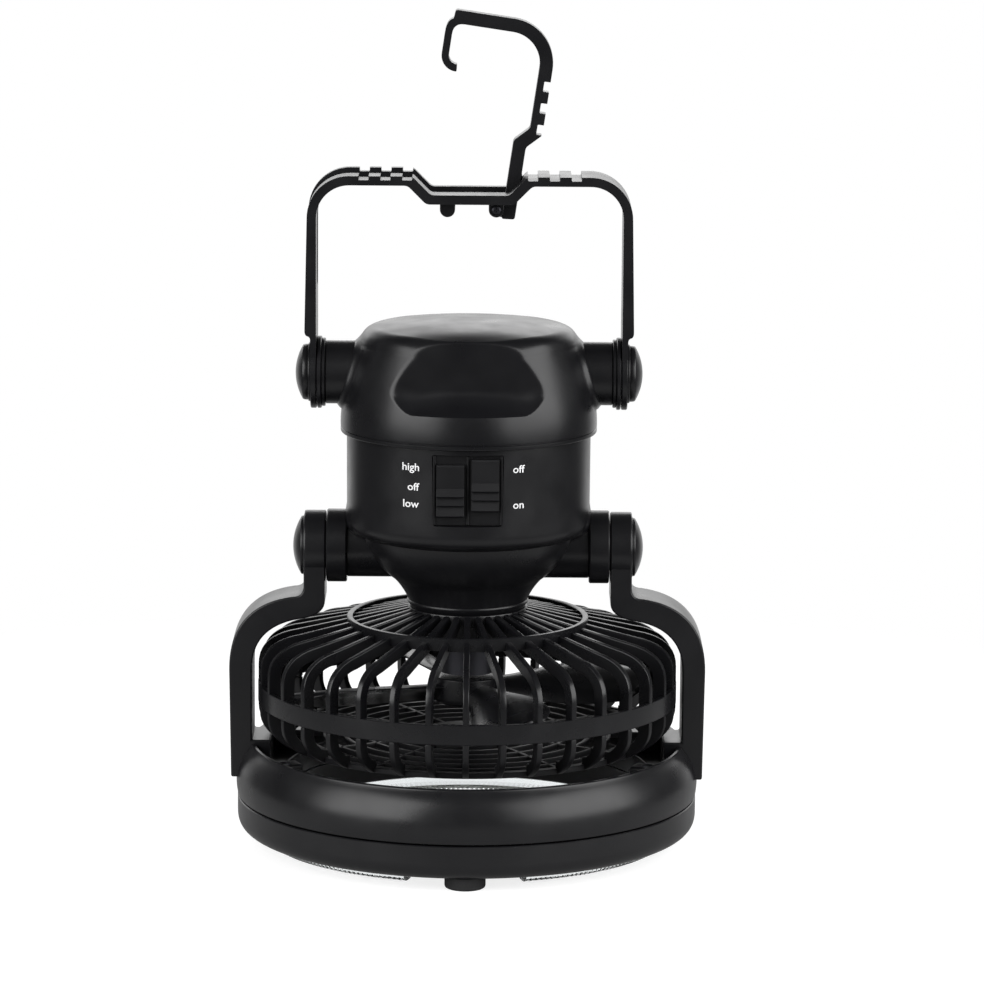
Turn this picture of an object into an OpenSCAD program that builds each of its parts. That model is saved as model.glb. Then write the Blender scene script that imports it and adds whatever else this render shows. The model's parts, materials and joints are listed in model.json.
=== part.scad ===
// Portable camping fan. A fan head hangs between two arms that rise from a ring light, and
// carries a swinging handle with a folding hook. Millimetres, +Z up. The origin lies on the
// surface that the feet rest on, under the fan's axis. Both pivot axes run along X, and the
// switches face -Y.

/* [Light ring] */
// Outside diameter of the ring at the seam of its shells
ring_d = 165.6; // [164:0.1:168]
// How far the rim leans in from the ring's outside
rim_in = 4.6; // [4:0.1:5.4]
// Height of the rim
rim_z = 36.4; // [35:0.1:37]
// Height of the seam between the shells
seam_z = 17.8; // [17:0.1:20]
// Height of the ring's underside
under_z = 4.6; // [4:0.1:6]
// How far the flat underside lies inside the ring's outside
under_in = 6; // [5:0.1:7]
// Width of the ring from the open middle outwards
ring_w = 17.3; // [16.5:0.1:18]
// Wall of the ring's shells
ring_wall = 2.2; // [1.8:0.1:2.6]
// Width of the rim's flat top
rim_w = 1.4; // [1:0.1:2]
// Depth of the gutter inside the rim
gutter_depth = 10.5; // [8:0.1:12]
// How far the ring's wall bulges above the seam
ring_bulge = 2; // [0:0.1:3]
// Width of the shadow groove at a seam
groove = 0.4; // [0.2:0.1:0.8]
// How far the shell rises before it rounds in at the underside
under_round = 6.4; // [4:0.1:8]

/* [Ring bosses and screws] */
// Angle of the first screw boss from the front
boss_angle = 66; // [60:1:70]
// Height of the bosses' tops below the rim
boss_drop = 2.6; // [2:0.1:6]
// Width of a boss
boss_w = 8; // [6:0.1:10]
// Distance of the boss screws from the open middle
boss_in = 5.5; // [5:0.1:6.5]
// Diameter of the small screws' shanks
screw_d = 2.6; // [2:0.1:3]
// Diameter of the small screws' heads
screw_head_d = 5; // [4.4:0.1:5.4]
// Height of the small screws' heads
screw_head_h = 1.8; // [1.4:0.1:2.2]
// Depth of the holes that sink the ring screws' heads
boss_sink = 2.6; // [2.2:0.1:4]

/* [Lens, board and feet] */
// Number of lens segments, and of feet
segments = 3; // [3]
// Half of the gap between two lens segments, in degrees
lens_gap_angle = 16.5; // [12:0.5:20]
// How far the lens hangs below the ring's underside
lens_drop = 3.2; // [2.4:0.1:3.6]
// Width of the flat underside outside the lens
lens_edge = 1.6; // [1.3:0.1:2.4]
// Wall of the lens
lens_t = 1.6; // [1.2:0.1:2]
// Thickness of the circuit boards
board_t = 1.6; // [1:0.1:2]
// Height of the lamp board above the underside
board_rise = 10.4; // [8:0.1:11]
// Distance from the lamp board's rim to the ring's outside
board_edge = 3.5; // [3:0.1:5]
// Number of lamps on the board
lamps = 21; // [15:6:21]
// Length of a lamp
lamp_l = 3.5; // [2.8:0.1:5]
// Width of a lamp
lamp_w = 2.8; // [2:0.1:3.5]
// Height of a lamp
lamp_h = 1.4; // [0.8:0.1:2]
// Diameter of a rubber foot
foot_d = 14.4; // [12:0.1:14.8]
// Distance of the feet's middles from the open middle
foot_in = 5.1; // [5:0.1:6.5]
// Radius at the foot's lower edge
foot_round = 1; // [0.5:0.1:1.5]

/* [Arms] */
// Height of the tilt axis, where the arms carry the head
tilt_z = 107.6; // [105:0.1:112]
// Width of the arms and of the handle strap, along Y
strap_w = 22; // [18:0.5:22]
// How far the arms stand out from the ring
arm_proud = 2.6; // [2:0.1:4]
// Thickness of an arm
arm_t = 8.2; // [6:0.1:9]
// Distance from the end of a pivot tube to the arm hub's inner face
hub_reach = 7.6; // [7:0.1:8.6]
// Thickness of the arm hub, along X
hub_t = 7.7; // [7:0.1:8.4]
// Diameter of the arm hub
hub_d = 25.2; // [24:0.1:26]
// Drop from the tilt axis to the top of the arm's shoulder
shoulder_drop = 17; // [16.5:0.1:20]
// Drop from the shoulder's top to the start of the straight arm
bend_drop = 26.6; // [22:0.1:28]
// How far the shoulder leans down towards the bend
arm_lean = 3.2; // [2:0.1:4]
// Fillet between the arm's neck and its shoulder
neck_fillet = 4; // [2:0.1:5]
// Height of the arm's lower end above the ring's seam
arm_end_rise = 6.6; // [5:0.1:7]
// How far the arm's outside leans in at its lower end
arm_taper = 0.6; // [0:0.1:1]
// Inward reach of the arm's foot inside the ring
arm_foot_w = 6.7; // [5:0.1:7]
// Height of the arm's foot inside the ring
arm_foot_h = 12.2; // [9:0.1:12.5]
// Spacing of the two screws in each arm's foot
arm_screw_pitch = 12; // [9:0.1:13]
// Length of the screws in the arm's foot
arm_screw_l = 8; // [6:0.1:9]

/* [Lower pivots] */
// Diameter of the neck's pivot tubes
tube_d = 22.4; // [21:0.1:23]
// How far a pivot tube ends inside the lower shell's outside
tube_short = 0.2; // [0:0.1:0.6]
// Diameter of the collars
collar_d = 26.2; // [25:0.1:27]
// Gap between the collar and the arm hub
collar_gap = 0.4; // [0.3:0.1:0.6]
// Diameter of the pivot bolts' shanks
bolt_d = 10; // [8:0.1:11]
// Diameter of the pivot bolts' heads
bolt_head_d = 15; // [14:0.1:16]
// Height of the pivot bolts' heads
bolt_head_h = 2; // [1.5:0.1:2.4]
// Diameter of the pivot bolts' threads
thread_d = 4; // [3:0.1:5]
// Length of the pivot bolts' threads
thread_l = 9; // [7:0.1:10]
// Diameter of the lower pivots' round caps
cap_d = 21; // [20:0.1:22]
// Height of the lower caps
cap_h = 4.1; // [3.5:0.1:5]
// Diameter of the friction washers
washer_d = 17; // [16:0.1:18]
// Thickness of the friction washers
washer_t = 1; // [0.8:0.1:1.2]
// Radial running clearance of a pivot
run_gap = 0.05; // [0.03:0.01:0.1]
// Clearance between pieces that move past each other
move_gap = 0.3; // [0.3:0.05:0.5]
// Clearance between pieces that are assembled together
fit_gap = 0.1; // [0.05:0.05:0.2]

/* [Neck] */
// Height of the neck's top above the tilt axis
neck_rise = 5; // [4:0.1:6]
// How far the neck's top lies inside the lower shell's outside
neck_in = 5.3; // [4.6:0.1:6.6]
// Drop from the tilt axis to the neck's lip
lip_drop = 19.2; // [18:0.1:20]
// Height of the lip
lip_h = 2.4; // [2:0.1:3]
// Diameter of the lip
lip_d = 44.6; // [43:0.1:46]
// Wall of the head's shells
shell_wall = 2.4; // [2:0.1:2.8]
// Width of the ledge that carries the lower shell
ledge_w = 12; // [11:0.1:13]

/* [Lower shell] */
// Height of the lower shell
lower_h = 37.2; // [37:0.1:40]
// Room between a battery and the lower shell's wall
cell_room = 6.9; // [6.3:0.1:7.3]
// Radius at the lower shell's bottom edge
lower_round = 6; // [4:0.1:7]
// Height of the spigot that enters the upper shell
spigot_h = 4; // [3:0.1:5]
// Width of the switch opening
panel_w = 25.2; // [24:0.1:26]
// Height of the switch opening
panel_h = 25.4; // [24.6:0.1:26]
// Distance from the opening's top to the upper shell
panel_drop = 2; // [1.6:0.1:3]
// Depth of the switch plate behind the shell's front
panel_depth = 2.6; // [2.4:0.1:3]
// Thickness of the switch plate
panel_t = 2; // [1.6:0.1:2.4]

/* [Switches] */
// Spacing of the two knobs
knob_pitch = 12.3; // [12:0.1:12.6]
// Width of a knob
knob_w = 9.7; // [9:0.1:10]
// Height of a knob
knob_h = 18.6; // [18:0.1:19]
// How far a knob stands out from the switch plate
knob_out = 3.4; // [2.6:0.1:4]
// Travel from one switch position to the next
knob_step = 2; // [1.5:0.1:2.2]
// Number of grip steps on a knob
knob_ridges = 4; // [3:1:5]
// Depth of a grip step
ridge_depth = 0.8; // [0.4:0.1:1]
// Width of a switch's lever
lever_w = 3; // [2:0.1:4]
// Height of a switch's lever
lever_h = 4; // [3:0.1:5]
// Width of a switch body
switch_w = 8.6; // [7:0.1:10]
// Height of a switch body
switch_h = 14; // [12:0.1:16]
// Depth of a switch body
switch_t = 5; // [4:0.1:6]
// Height of the control board
control_h = 27; // [26:0.1:28]
// Width of the control board
control_w = 27; // [26:0.1:28]

/* [Upper shell] */
// Height of the upper shell
upper_h = 40; // [39:0.1:42]
// How far the upper shell stands out past the lower one
upper_proud = 2.2; // [1.9:0.1:2.9]
// How far the crown's edge lies inside the upper shell's lower edge
crown_in = 6.8; // [5.8:0.1:7.8]
// Drop from the top to the crown's edge
crown_drop = 8.2; // [7:0.1:9]
// How far the nearly flat top lies inside the crown's edge
top_in = 8.5; // [7:0.1:10]
// Rise of the top's dome
top_dome = 1.2; // [0.5:0.1:2]
// Depth of the grip scoops
scoop_depth = 5; // [3:0.1:5.5]
// Half width of a scoop at its top
scoop_top = 14.3; // [12:0.1:16]
// Half width of a scoop at its widest
scoop_half = 26.7; // [24:0.1:27]
// Height of the scoop's bottom above the shell's lower edge
scoop_rise = 11.6; // [10:0.1:13]
// Height of the scoop
scoop_h = 24.6; // [22:0.1:25]
// Distance from the lower edge to the handle's axis
swing_rise = 20.7; // [19:0.1:21]
// Diameter of the upper pivot tubes
boss_d = 22.6; // [21:0.1:23]
// How far the upper tubes stand out from the upper shell
boss_l = 5.4; // [4.7:0.1:5.7]

/* [Handle] */
// Distance from the end of an upper tube to the inside of the handle
handle_gap = 3.1; // [2.7:0.1:4.3]
// Thickness of the handle strap
strap_t = 3.3; // [2.8:0.1:4]
// Height from the handle's axis to the top of its shoulders
handle_h = 71.4; // [70:0.1:74]
// Outside radius of the handle's corners
corner_r = 15; // [12:0.1:16]
// Drop of the middle of the handle
dip_drop = 6.6; // [5.5:0.1:7.5]
// Half length of the top of the dip
dip_half = 13.8; // [12:0.1:14.5]
// Extra height of the rear rail beside the slot
rail_rise = 1.1; // [0.5:0.1:1.5]
// Width of the front rail
front_rail = 10.5; // [9:0.1:11]
// Width of the slot that the hook folds into
slot_w = 8; // [7:0.1:9]
// Distance from the fan's axis to the slot's right end
slot_end = 18.4; // [18.2:0.1:19]
// Spacing of the grip notches
notch_pitch = 7.7; // [7:0.1:8]
// Width of a grip notch
notch_w = 3.6; // [3:0.1:4]
// Depth of a grip notch
notch_depth = 1.4; // [0.8:0.1:1.8]
// Number of grip notches on each shoulder
notches = 3; // [2:1:3]
// Thickness of the handle's end discs
disc_t = 2.1; // [1.8:0.1:2.6]
// Diameter of the handle's end discs
disc_d = 25.8; // [24:0.1:27]
// Height from the handle's axis to the end of the thick strap
thick_low = 14.2; // [13.5:0.1:16]
// Extra thickness of the strap's outside at its lower end
flare = 0.8; // [0.3:0.1:1.2]
// Width of the tabs below the dip
tab_w = 5.4; // [4.6:0.1:6]
// Distance from the fan's axis to the left tabs
tab_x = 8; // [7:0.1:10]
// Thickness of a tab, along Y
tab_t = 3.5; // [2.5:0.1:3.5]
// Distance from the fan's axis to the hook pin and the tabs
pin_x = 9.3; // [8:0.1:10]
// Drop from the dip's underside to the hook pin
pin_drop = 2.6; // [2:0.1:3]
// Diameter of the upper caps
grip_cap_d = 20.4; // [19:0.1:21]
// Height of the upper caps
grip_cap_h = 5.5; // [4.5:0.1:6]
// Diameter of the handle bolts' shanks
handle_bolt_d = 8; // [7:0.1:9]

/* [Hook] */
// Thickness of the hook across its width, along Y
hook_w = 7.4; // [6:0.1:7.4]
// Thickness of the hook bar
hook_t = 4.7; // [4:0.1:5]
// Angle that the hook opens to from its folded place
hook_open = 98.4; // [95:0.1:99]
// How far the hook lies below the handle's shoulder when folded
hook_sink = 0.4; // [0.2:0.1:1]
// Outside radius of the hook's bend
hook_r = 15.8; // [14:0.1:17]
// How far the folded hook stands out past the handle's side
hook_proud = 0.6; // [0:0.1:1.2]
// Height from the handle's axis to the folded hook's lower end
hook_low = 34; // [33.6:0.1:36]
// Thickness of the hook's curled tip
tip_t = 2.6; // [2.2:0.1:3]
// Outside radius of the hook's curled tip
tip_r = 5.7; // [5:0.1:6.4]
// Distance from the fan's axis to the middle of the curl when folded
tip_x = 42.3; // [41:0.1:44]
// Depth of the hook's notches
hook_notch = 2.2; // [1.5:0.1:2.5]
// Diameter of the hook pin
pin_d = 2.4; // [2:0.1:2.6]
// Diameter of the hook pin's head
pin_head_d = 3.6; // [3.2:0.1:4]
// Height of the hook pin's head
pin_head_h = 0.8; // [0.5:0.1:1]

/* [Cage] */
// Number of ribs
ribs = 36; // [24:2:40]
// Thickness of a rib
rib_t = 2.2; // [1.6:0.1:2.6]
// Depth of a rib
rib_d = 4.6; // [3.6:0.1:5]
// Largest diameter of the cage
cage_d = 150.6; // [148:0.1:152]
// Height of the cage below the neck's lip
cage_h = 48.6; // [47:0.1:48.8]
// Drop of the ribs from the lip to the corner's start
cage_slope = 9.2; // [8:0.1:11]
// How far the ribs' upper corners lie inside the cage's outside
corner_in = 14.3; // [12:0.1:16]
// Drop from the lip to the end of the corner
corner_drop = 22; // [20:0.1:24]
// Drop from the lip to the top of the wide band
band_drop = 27.4; // [26:0.1:28]
// Height of the wide band
band_h = 7.1; // [6:0.1:8]
// Thickness of the wide band
band_t = 2; // [1.6:0.1:2.4]
// Diameter of the connecting ring
tie_d = 85; // [80:0.1:90]
// Height of the connecting ring
tie_h = 3.6; // [3:0.1:4]
// Thickness of the connecting ring
tie_t = 1.6; // [1.2:0.1:2]
// Diameter of the cage screws' heads
cage_head_d = 4; // [3.6:0.1:4]
// Height of the cage's centre ring
centre_h = 4; // [3.4:0.1:5]
// How far the ribs' lower ends lie inside the cage's outside
heel_in = 9.3; // [8:0.1:10.5]
// Thickness of the grille
grille_t = 2; // [1.6:0.1:2.4]
// Number of rings in the grille
grille_rings = 7; // [4:1:8]
// Width of a grille ring
grille_w = 1.6; // [1.2:0.1:2]
// Number of grille spokes
spokes = 12; // [8:1:12]
// Diameter of the grille's centre disc
grille_disc_d = 34; // [28:0.5:40]

/* [Motor and rotor] */
// Diameter of the motor mount
mount_d = 33; // [32:0.1:34]
// Drop of the motor mount below the lip
mount_h = 12; // [10:0.1:13]
// Diameter of the motor
motor_d = 20; // [18:0.1:21]
// Length of the motor
motor_l = 25; // [23:0.1:26]
// How far the motor stands out of its mount
motor_out = 12; // [11:0.1:13]
// Diameter of the motor shaft
shaft_d = 2; // [2:0.1:3]
// Length of the motor shaft outside the motor
shaft_l = 11; // [10:0.1:12]
// Diameter of the rotor's hub
rotor_hub_d = 24; // [22:0.1:26]
// Height of the rotor's hub
rotor_hub_h = 10; // [8:0.1:10]
// Gap between the motor and the rotor's hub
rotor_gap = 1.6; // [1:0.1:2]
// Distance from the blades' tips to the ribs
tip_gap = 4.7; // [3.5:0.1:6]
// Angle of the first blade from the right
blade_first = 20; // [0:1:89]
// Number of blades
blades = 4; // [3:1:5]
// Thickness of a blade
blade_t = 1.6; // [1.2:0.1:2]
// Pitch of a blade
blade_pitch = 24; // [18:1:28]
// Angle that a blade covers
blade_angle = 52; // [40:1:60]

/* [Batteries] */
// Diameter of a battery cell
cell_d = 34; // [33:0.1:34.2]
// Length of a battery cell without its tip
cell_l = 60; // [59:0.1:60.5]
// Diameter of a cell's tip
cell_tip_d = 9.5; // [8:0.1:10]
// Height of a cell's tip
cell_tip_h = 1.5; // [1:0.1:2]
// Gap between the two cells
cell_gap = 0.6; // [0.4:0.1:1]
// Thickness of the tray's walls
tray_t = 1.2; // [1:0.1:1.4]
// Thickness of the tray's floor
tray_floor = 2; // [1.6:0.1:2.4]
// Height of the tray's walls
tray_h = 30; // [20:0.5:34]
// Height of the contact springs
spring_h = 6.4; // [6.2:0.1:7]
// Diameter of the contact springs
spring_d = 12; // [10:0.1:14]
// Thickness of the contact strip
strip_t = 0.6; // [0.4:0.1:1]
// Width of the contact strip
strip_w = 12; // [10:0.1:14]

/* [Hidden] */

$fn = 96;
// Points on a curve
curve_n = 10;
// Overrun of a cut past a face
over = ring_wall;
// Points of a quadratic curve from p through the pull of c to q
function curve(p, c, q) =
    [for (i = [0:curve_n]) let (t = i / curve_n) (1 - t) * (1 - t) * p + 2 * t * (1 - t) * c + t * t * q];
// Points of an arc about c from angle a to angle b
function arc(c, r, a, b) =
    [for (i = [0:curve_n]) let (t = a + (b - a) * i / curve_n) c + r * [cos(t), sin(t)]];
// A list of points moved outwards along the first axis
function shift(pts, d) = [for (p = pts) [p[0] + d, p[1]]];
function mirrored(pts) = [for (i = [len(pts) - 1:-1:0]) [-pts[i][0], pts[i][1]]];

ring_r = ring_d / 2;
heel_d = cage_d - 2 * heel_in;
corner_d = cage_d - 2 * corner_in;
rotor_d = cage_d - 2 * rib_d - 2 * tip_gap;
hole_r = ring_r - ring_w;
rim_r = ring_r - rim_in;
under_r = ring_r - under_in;
lens_w = ring_w - under_in - lens_edge;
boss_r = hole_r + boss_in;
foot_r = hole_r + foot_in;
cell_x = (cell_d + cell_gap) / 2;
lower_r = cell_x + cell_d / 2 + cell_room + shell_wall;
upper_r = lower_r + upper_proud;
crown_r = upper_r - crown_in;
top_r = crown_r - top_in;
neck_top_r = lower_r - neck_in;
tube_end = lower_r - tube_short;
hub_in = tube_end + hub_reach;
boss_end = upper_r + boss_l;
handle_in = boss_end + handle_gap;
gutter_z = rim_z - gutter_depth;
arm_out = ring_r + arm_proud;
arm_in = arm_out - arm_t;
arm_end_z = seam_z + arm_end_rise;
hub_out = hub_in + hub_t;
shoulder_z = tilt_z - shoulder_drop;
neck_top = tilt_z + neck_rise;
lip_z = tilt_z - lip_drop;
cage_top = lip_z - lip_h;
body_seam = neck_top + lower_h;
body_top = body_seam + upper_h;
swing_z = body_seam + swing_rise;
panel_top = body_seam - panel_drop;
panel_mid = panel_top - panel_h / 2;
panel_y = lower_r - panel_depth;
shoulder_top = swing_z + handle_h;
handle_out = handle_in + strap_t;
hook_out = handle_out + hook_proud;
corner_x = handle_out - corner_r;
corner_z = shoulder_top - corner_r;
dip_top = shoulder_top - dip_drop;
dip_low = dip_top - strap_t;
slot_y = front_rail - strap_w / 2;
pin_z = dip_low - pin_drop;
slot_mid = slot_y + slot_w / 2;
boss_angles = [boss_angle, 180 - boss_angle, 180 + boss_angle, -boss_angle];
cell_z = neck_top + tray_floor + spring_h;
motor_low = cage_top - motor_out - mount_h;
rotor_top = motor_low - rotor_gap;
black = "#1c1c1e";
dark = "#262628";
steel = "#a9abae";

module turn_all(n, first) { for (i = [0:n - 1]) rotate([0, 0, first + i * 360 / n]) children(); }
// A rod along X from x0 to x1
module rod(x0, x1, z, d) { translate([x0, 0, z]) rotate([0, 90, 0]) cylinder(h = x1 - x0, d = d); }
// A body turned about X from an outline of radius against distance along X
module turned_x(z, x0, pts) { translate([x0, 0, z]) rotate([0, 90, 0]) rotate_extrude() polygon(pts); }
// An outline in the XZ plane, given depth from y0 to y1
module slab(pts, y0, y1) { translate([0, y1, 0]) rotate([90, 0, 0]) linear_extrude(y1 - y0) polygon(pts); }
// A ring with a round section outline over an angle
module sweep(pts, first, angle) { rotate([0, 0, first]) rotate_extrude(angle = angle) polygon(pts); }
// The right half of a piece, or its mirror image on the left
module on_side(side) { if (side < 0) mirror([1, 0, 0]) children(); else children(); }
// A screw standing on its thread, with its head's underside at z
module screw(z, l, d, head_d, head_h) {
    translate([0, 0, z - l]) cylinder(h = l, d = d);
    translate([0, 0, z]) cylinder(h = head_h, d = head_d);
}

// Light ring
ring_edge = concat(
    curve([ring_r, seam_z], [ring_r + ring_bulge, seam_z + gutter_depth], [rim_r, rim_z - rim_w]),
    [[rim_r - rim_w / 2, rim_z]]);
module ring_screw_places() {
    for (a = boss_angles) rotate([0, 0, a - 90]) translate([boss_r, 0, 0]) children();
}
// The room that an arm and its foot take out of the rim
module arm_notch() {
    for (s = [-1, 1]) on_side(s) {
        translate([arm_in - fit_gap, -strap_w / 2 - fit_gap, arm_end_z - fit_gap])
            cube([arm_t + over, strap_w + 2 * fit_gap, rim_z]);
        translate([arm_in - arm_foot_w - fit_gap, -strap_w / 2 - fit_gap, gutter_z])
            cube([arm_t + arm_foot_w, strap_w + 2 * fit_gap, rim_z]);
    }
}
module ring_upper_shell() {
    inner = rim_r - rim_w * 1.5;
    color(black) difference() {
        union() {
            rotate_extrude() polygon(concat(ring_edge, [
                [inner, rim_z], [inner, gutter_z], [hole_r, gutter_z], [hole_r, seam_z],
                [hole_r + ring_wall, seam_z], [hole_r + ring_wall, gutter_z - ring_wall],
                [ring_r - ring_wall - groove, gutter_z - ring_wall], [ring_r - ring_wall, seam_z]
            ]));
            for (a = boss_angles) intersection() {
                rotate([0, 0, a - 90]) translate([hole_r - over, -boss_w / 2, seam_z])
                    cube([inner - hole_r + 2 * over, boss_w, rim_z - boss_drop - seam_z]);
                rotate_extrude() translate([hole_r, seam_z]) square([inner - hole_r + ring_wall / 2, rim_z]);
            }
        }
        arm_notch();
        ring_screw_places() {
            cylinder(h = rim_z, d = screw_d + 2 * fit_gap);
            translate([0, 0, rim_z - boss_drop - boss_sink]) cylinder(h = rim_z,
                d = screw_head_d + 4 * fit_gap);
        }
        arm_screw_places() cylinder(h = rim_z, d = screw_d + 2 * fit_gap);
    }
}
lower_top = seam_z - groove;
ledge_z = under_z + board_rise;
module ring_lower_shell() {
    seat_r = hole_r + lens_w;
    color(black) difference() {
        union() {
            rotate_extrude() polygon(concat(
                [[ring_r - ring_wall, seam_z - groove], [ring_r, seam_z - groove], [ring_r,
                    under_z + under_round]],
                curve([ring_r, under_z + under_round], [ring_r, under_z], [under_r, under_z]),
                [[seat_r + fit_gap, under_z], [seat_r + fit_gap, under_z + ring_wall],
                 [ring_r - 2 * ring_wall, under_z + ring_wall + under_round / 2],
                 [ring_r - 2 * ring_wall, ledge_z], [ring_r - ring_wall, ledge_z]]));
            rotate_extrude() polygon([
                [hole_r, under_z + ring_wall + fit_gap], [hole_r + ring_wall, under_z + ring_wall + fit_gap],
                [hole_r + ring_wall, ledge_z], [hole_r + ring_wall / 2, ledge_z],
                [hole_r + ring_wall / 2, lower_top], [hole_r, lower_top]]);
            turn_all(segments, -90 - lens_gap_angle)
                rotate_extrude(angle = 2 * lens_gap_angle)
                    translate([hole_r + fit_gap, under_z]) square([under_r - hole_r - groove, 2 * ring_wall]);
            ring_screw_places() translate([0, 0, under_z + ring_wall])
                cylinder(h = ledge_z - under_z - ring_wall, d = screw_head_d);
            for (a = boss_angles) intersection() {
                rotate([0, 0, a - 90]) translate([hole_r - over, -boss_w / 2, ledge_z - ring_wall])
                    cube([lens_w + 2 * ring_wall + over, boss_w, ring_wall]);
                rotate_extrude() translate([hole_r, under_z]) square([lens_w + 2 * ring_wall, rim_z]);
            }
        }
        ring_screw_places() translate([0, 0, under_z + 2 * ring_wall]) cylinder(h = rim_z, d = screw_d);
    }
}
module lens_segments() {
    low = under_z - lens_drop;
    top = under_z + ring_wall;
    out = hole_r + lens_w;
    soft = curve([hole_r + lens_w / 2, low], [out - lens_t, low], [out, under_z]);
    color("#e8eef2") turn_all(segments, -90 + lens_gap_angle + fit_gap)
        rotate_extrude(angle = 360 / segments - 2 * lens_gap_angle - 2 * fit_gap)
            polygon(concat(
                [[hole_r + fit_gap, top], [hole_r + fit_gap, under_z - lens_drop / 2], [hole_r + lens_t,
                    low]], soft,
                [[out, top], [out - lens_t, top], [out - lens_t, under_z + fit_gap],
                 [hole_r + lens_w / 2, low + lens_t], [hole_r + 2 * lens_t, low + lens_t],
                 [hole_r + lens_t + fit_gap, under_z], [hole_r + lens_t + fit_gap, top]]));
}
module lamp_board() {
    color("#d9ddd6") difference() {
        translate([0, 0, ledge_z]) difference() {
            cylinder(h = board_t, r = ring_r - board_edge);
            translate([0, 0, -over]) cylinder(h = board_t + 2 * over, r = hole_r + ring_wall / 2 + fit_gap);
        }
        ring_screw_places() cylinder(h = rim_z, d = screw_d + 2 * fit_gap);
    }
}
module lamps() {
    share = (360 / segments - 2 * lens_gap_angle) / (lamps / segments);
    color("#f3efc8") for (s = [0:segments - 1], i = [0:lamps / segments - 1])
        rotate([0, 0, -90 + lens_gap_angle + s * 360 / segments + (i + 0.5) * share])
            translate([hole_r + lens_w / 2 - lamp_l / 2 + fit_gap, -lamp_w / 2, ledge_z - lamp_h])
                cube([lamp_l, lamp_w, lamp_h]);
}
module rubber_feet() {
    color("#2b2b2c") turn_all(segments, -90) translate([foot_r, 0, 0]) rotate_extrude()
        polygon([[0, 0], [foot_d / 2 - foot_round, 0], [foot_d / 2, foot_round], [foot_d / 2, under_z], [0,
            under_z]]);
}

// Arms
module arm_screw_places() {
    for (s = [-1, 1], t = [-1, 1])
        translate([s * (arm_in - arm_foot_w / 2), t * arm_screw_pitch / 2, 0]) children();
}
arm_bend = [arm_out, shoulder_z - bend_drop];
arm_outer = concat(
    [[hub_out, tilt_z]],
    curve([hub_out, shoulder_z + neck_fillet], [hub_out, shoulder_z], [hub_out + neck_fillet, shoulder_z]),
    curve([hub_out + neck_fillet, shoulder_z], [arm_out, shoulder_z - arm_lean], arm_bend));
arm_inner = concat(
    curve([arm_in, arm_bend[1]], [arm_in, shoulder_z - arm_t - arm_lean],
          [hub_out + neck_fillet / 2, shoulder_z - arm_t]),
    curve([hub_out, shoulder_z - arm_t], [hub_in + fit_gap, shoulder_z - arm_t * 0.7],
          [hub_in + fit_gap, shoulder_z - arm_t * 0.2]),
    [[hub_in + fit_gap, tilt_z]]);
module arm(side) {
    color(black) on_side(side) difference() {
        union() {
            slab(concat(arm_outer, [[arm_out - arm_taper, arm_end_z], [arm_in, arm_end_z], [arm_in, gutter_z],
                 [arm_in - arm_foot_w, gutter_z], [arm_in - arm_foot_w, gutter_z + arm_foot_h],
                 [arm_in, gutter_z + arm_foot_h]], arm_inner), -strap_w / 2, strap_w / 2);
            rod(hub_in, hub_out, tilt_z, hub_d);
        }
        rod(hub_in - over, hub_out + over, tilt_z, bolt_d + 2 * run_gap);
        rod(hub_in - over, hub_in + washer_t - collar_gap, tilt_z, washer_d + 2 * move_gap);
        rod(hub_out - bolt_head_h - move_gap, hub_out + over, tilt_z, bolt_head_d + 2 * move_gap);
        arm_screw_places() translate([0, 0, -over]) cylinder(h = gutter_z + arm_screw_l, d = screw_d);
    }
}
module arm_left() { arm(-1); }
module arm_right() { arm(1); }
module arm_screws() {
    color(steel) arm_screw_places() mirror([0, 0, 1])
        screw(-gutter_z + ring_wall, arm_screw_l, screw_d - fit_gap, screw_head_d, screw_head_h);
}
module ring_screws() {
    head_z = rim_z - boss_drop - boss_sink;
    color(steel) ring_screw_places()
        screw(head_z, head_z - under_z - 3 * ring_wall, screw_d - fit_gap, screw_head_d, screw_head_h);
}
// A domed cap with a short cylindrical skirt
module cap(side, x, z, d, h) {
    skirt = h * 0.2;
    color(black) on_side(side) turned_x(z, x, concat(
        [[0, 0], [d / 2, 0]],
        curve([d / 2, skirt], [d / 2 - h / 4, h * 0.9], [d / 4, h]), [[0, h]]));
}
module pivot_cap(side) { cap(side, hub_out, tilt_z, cap_d, cap_h); }
module pivot_cap_left() { pivot_cap(-1); }
module pivot_cap_right() { pivot_cap(1); }

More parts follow.
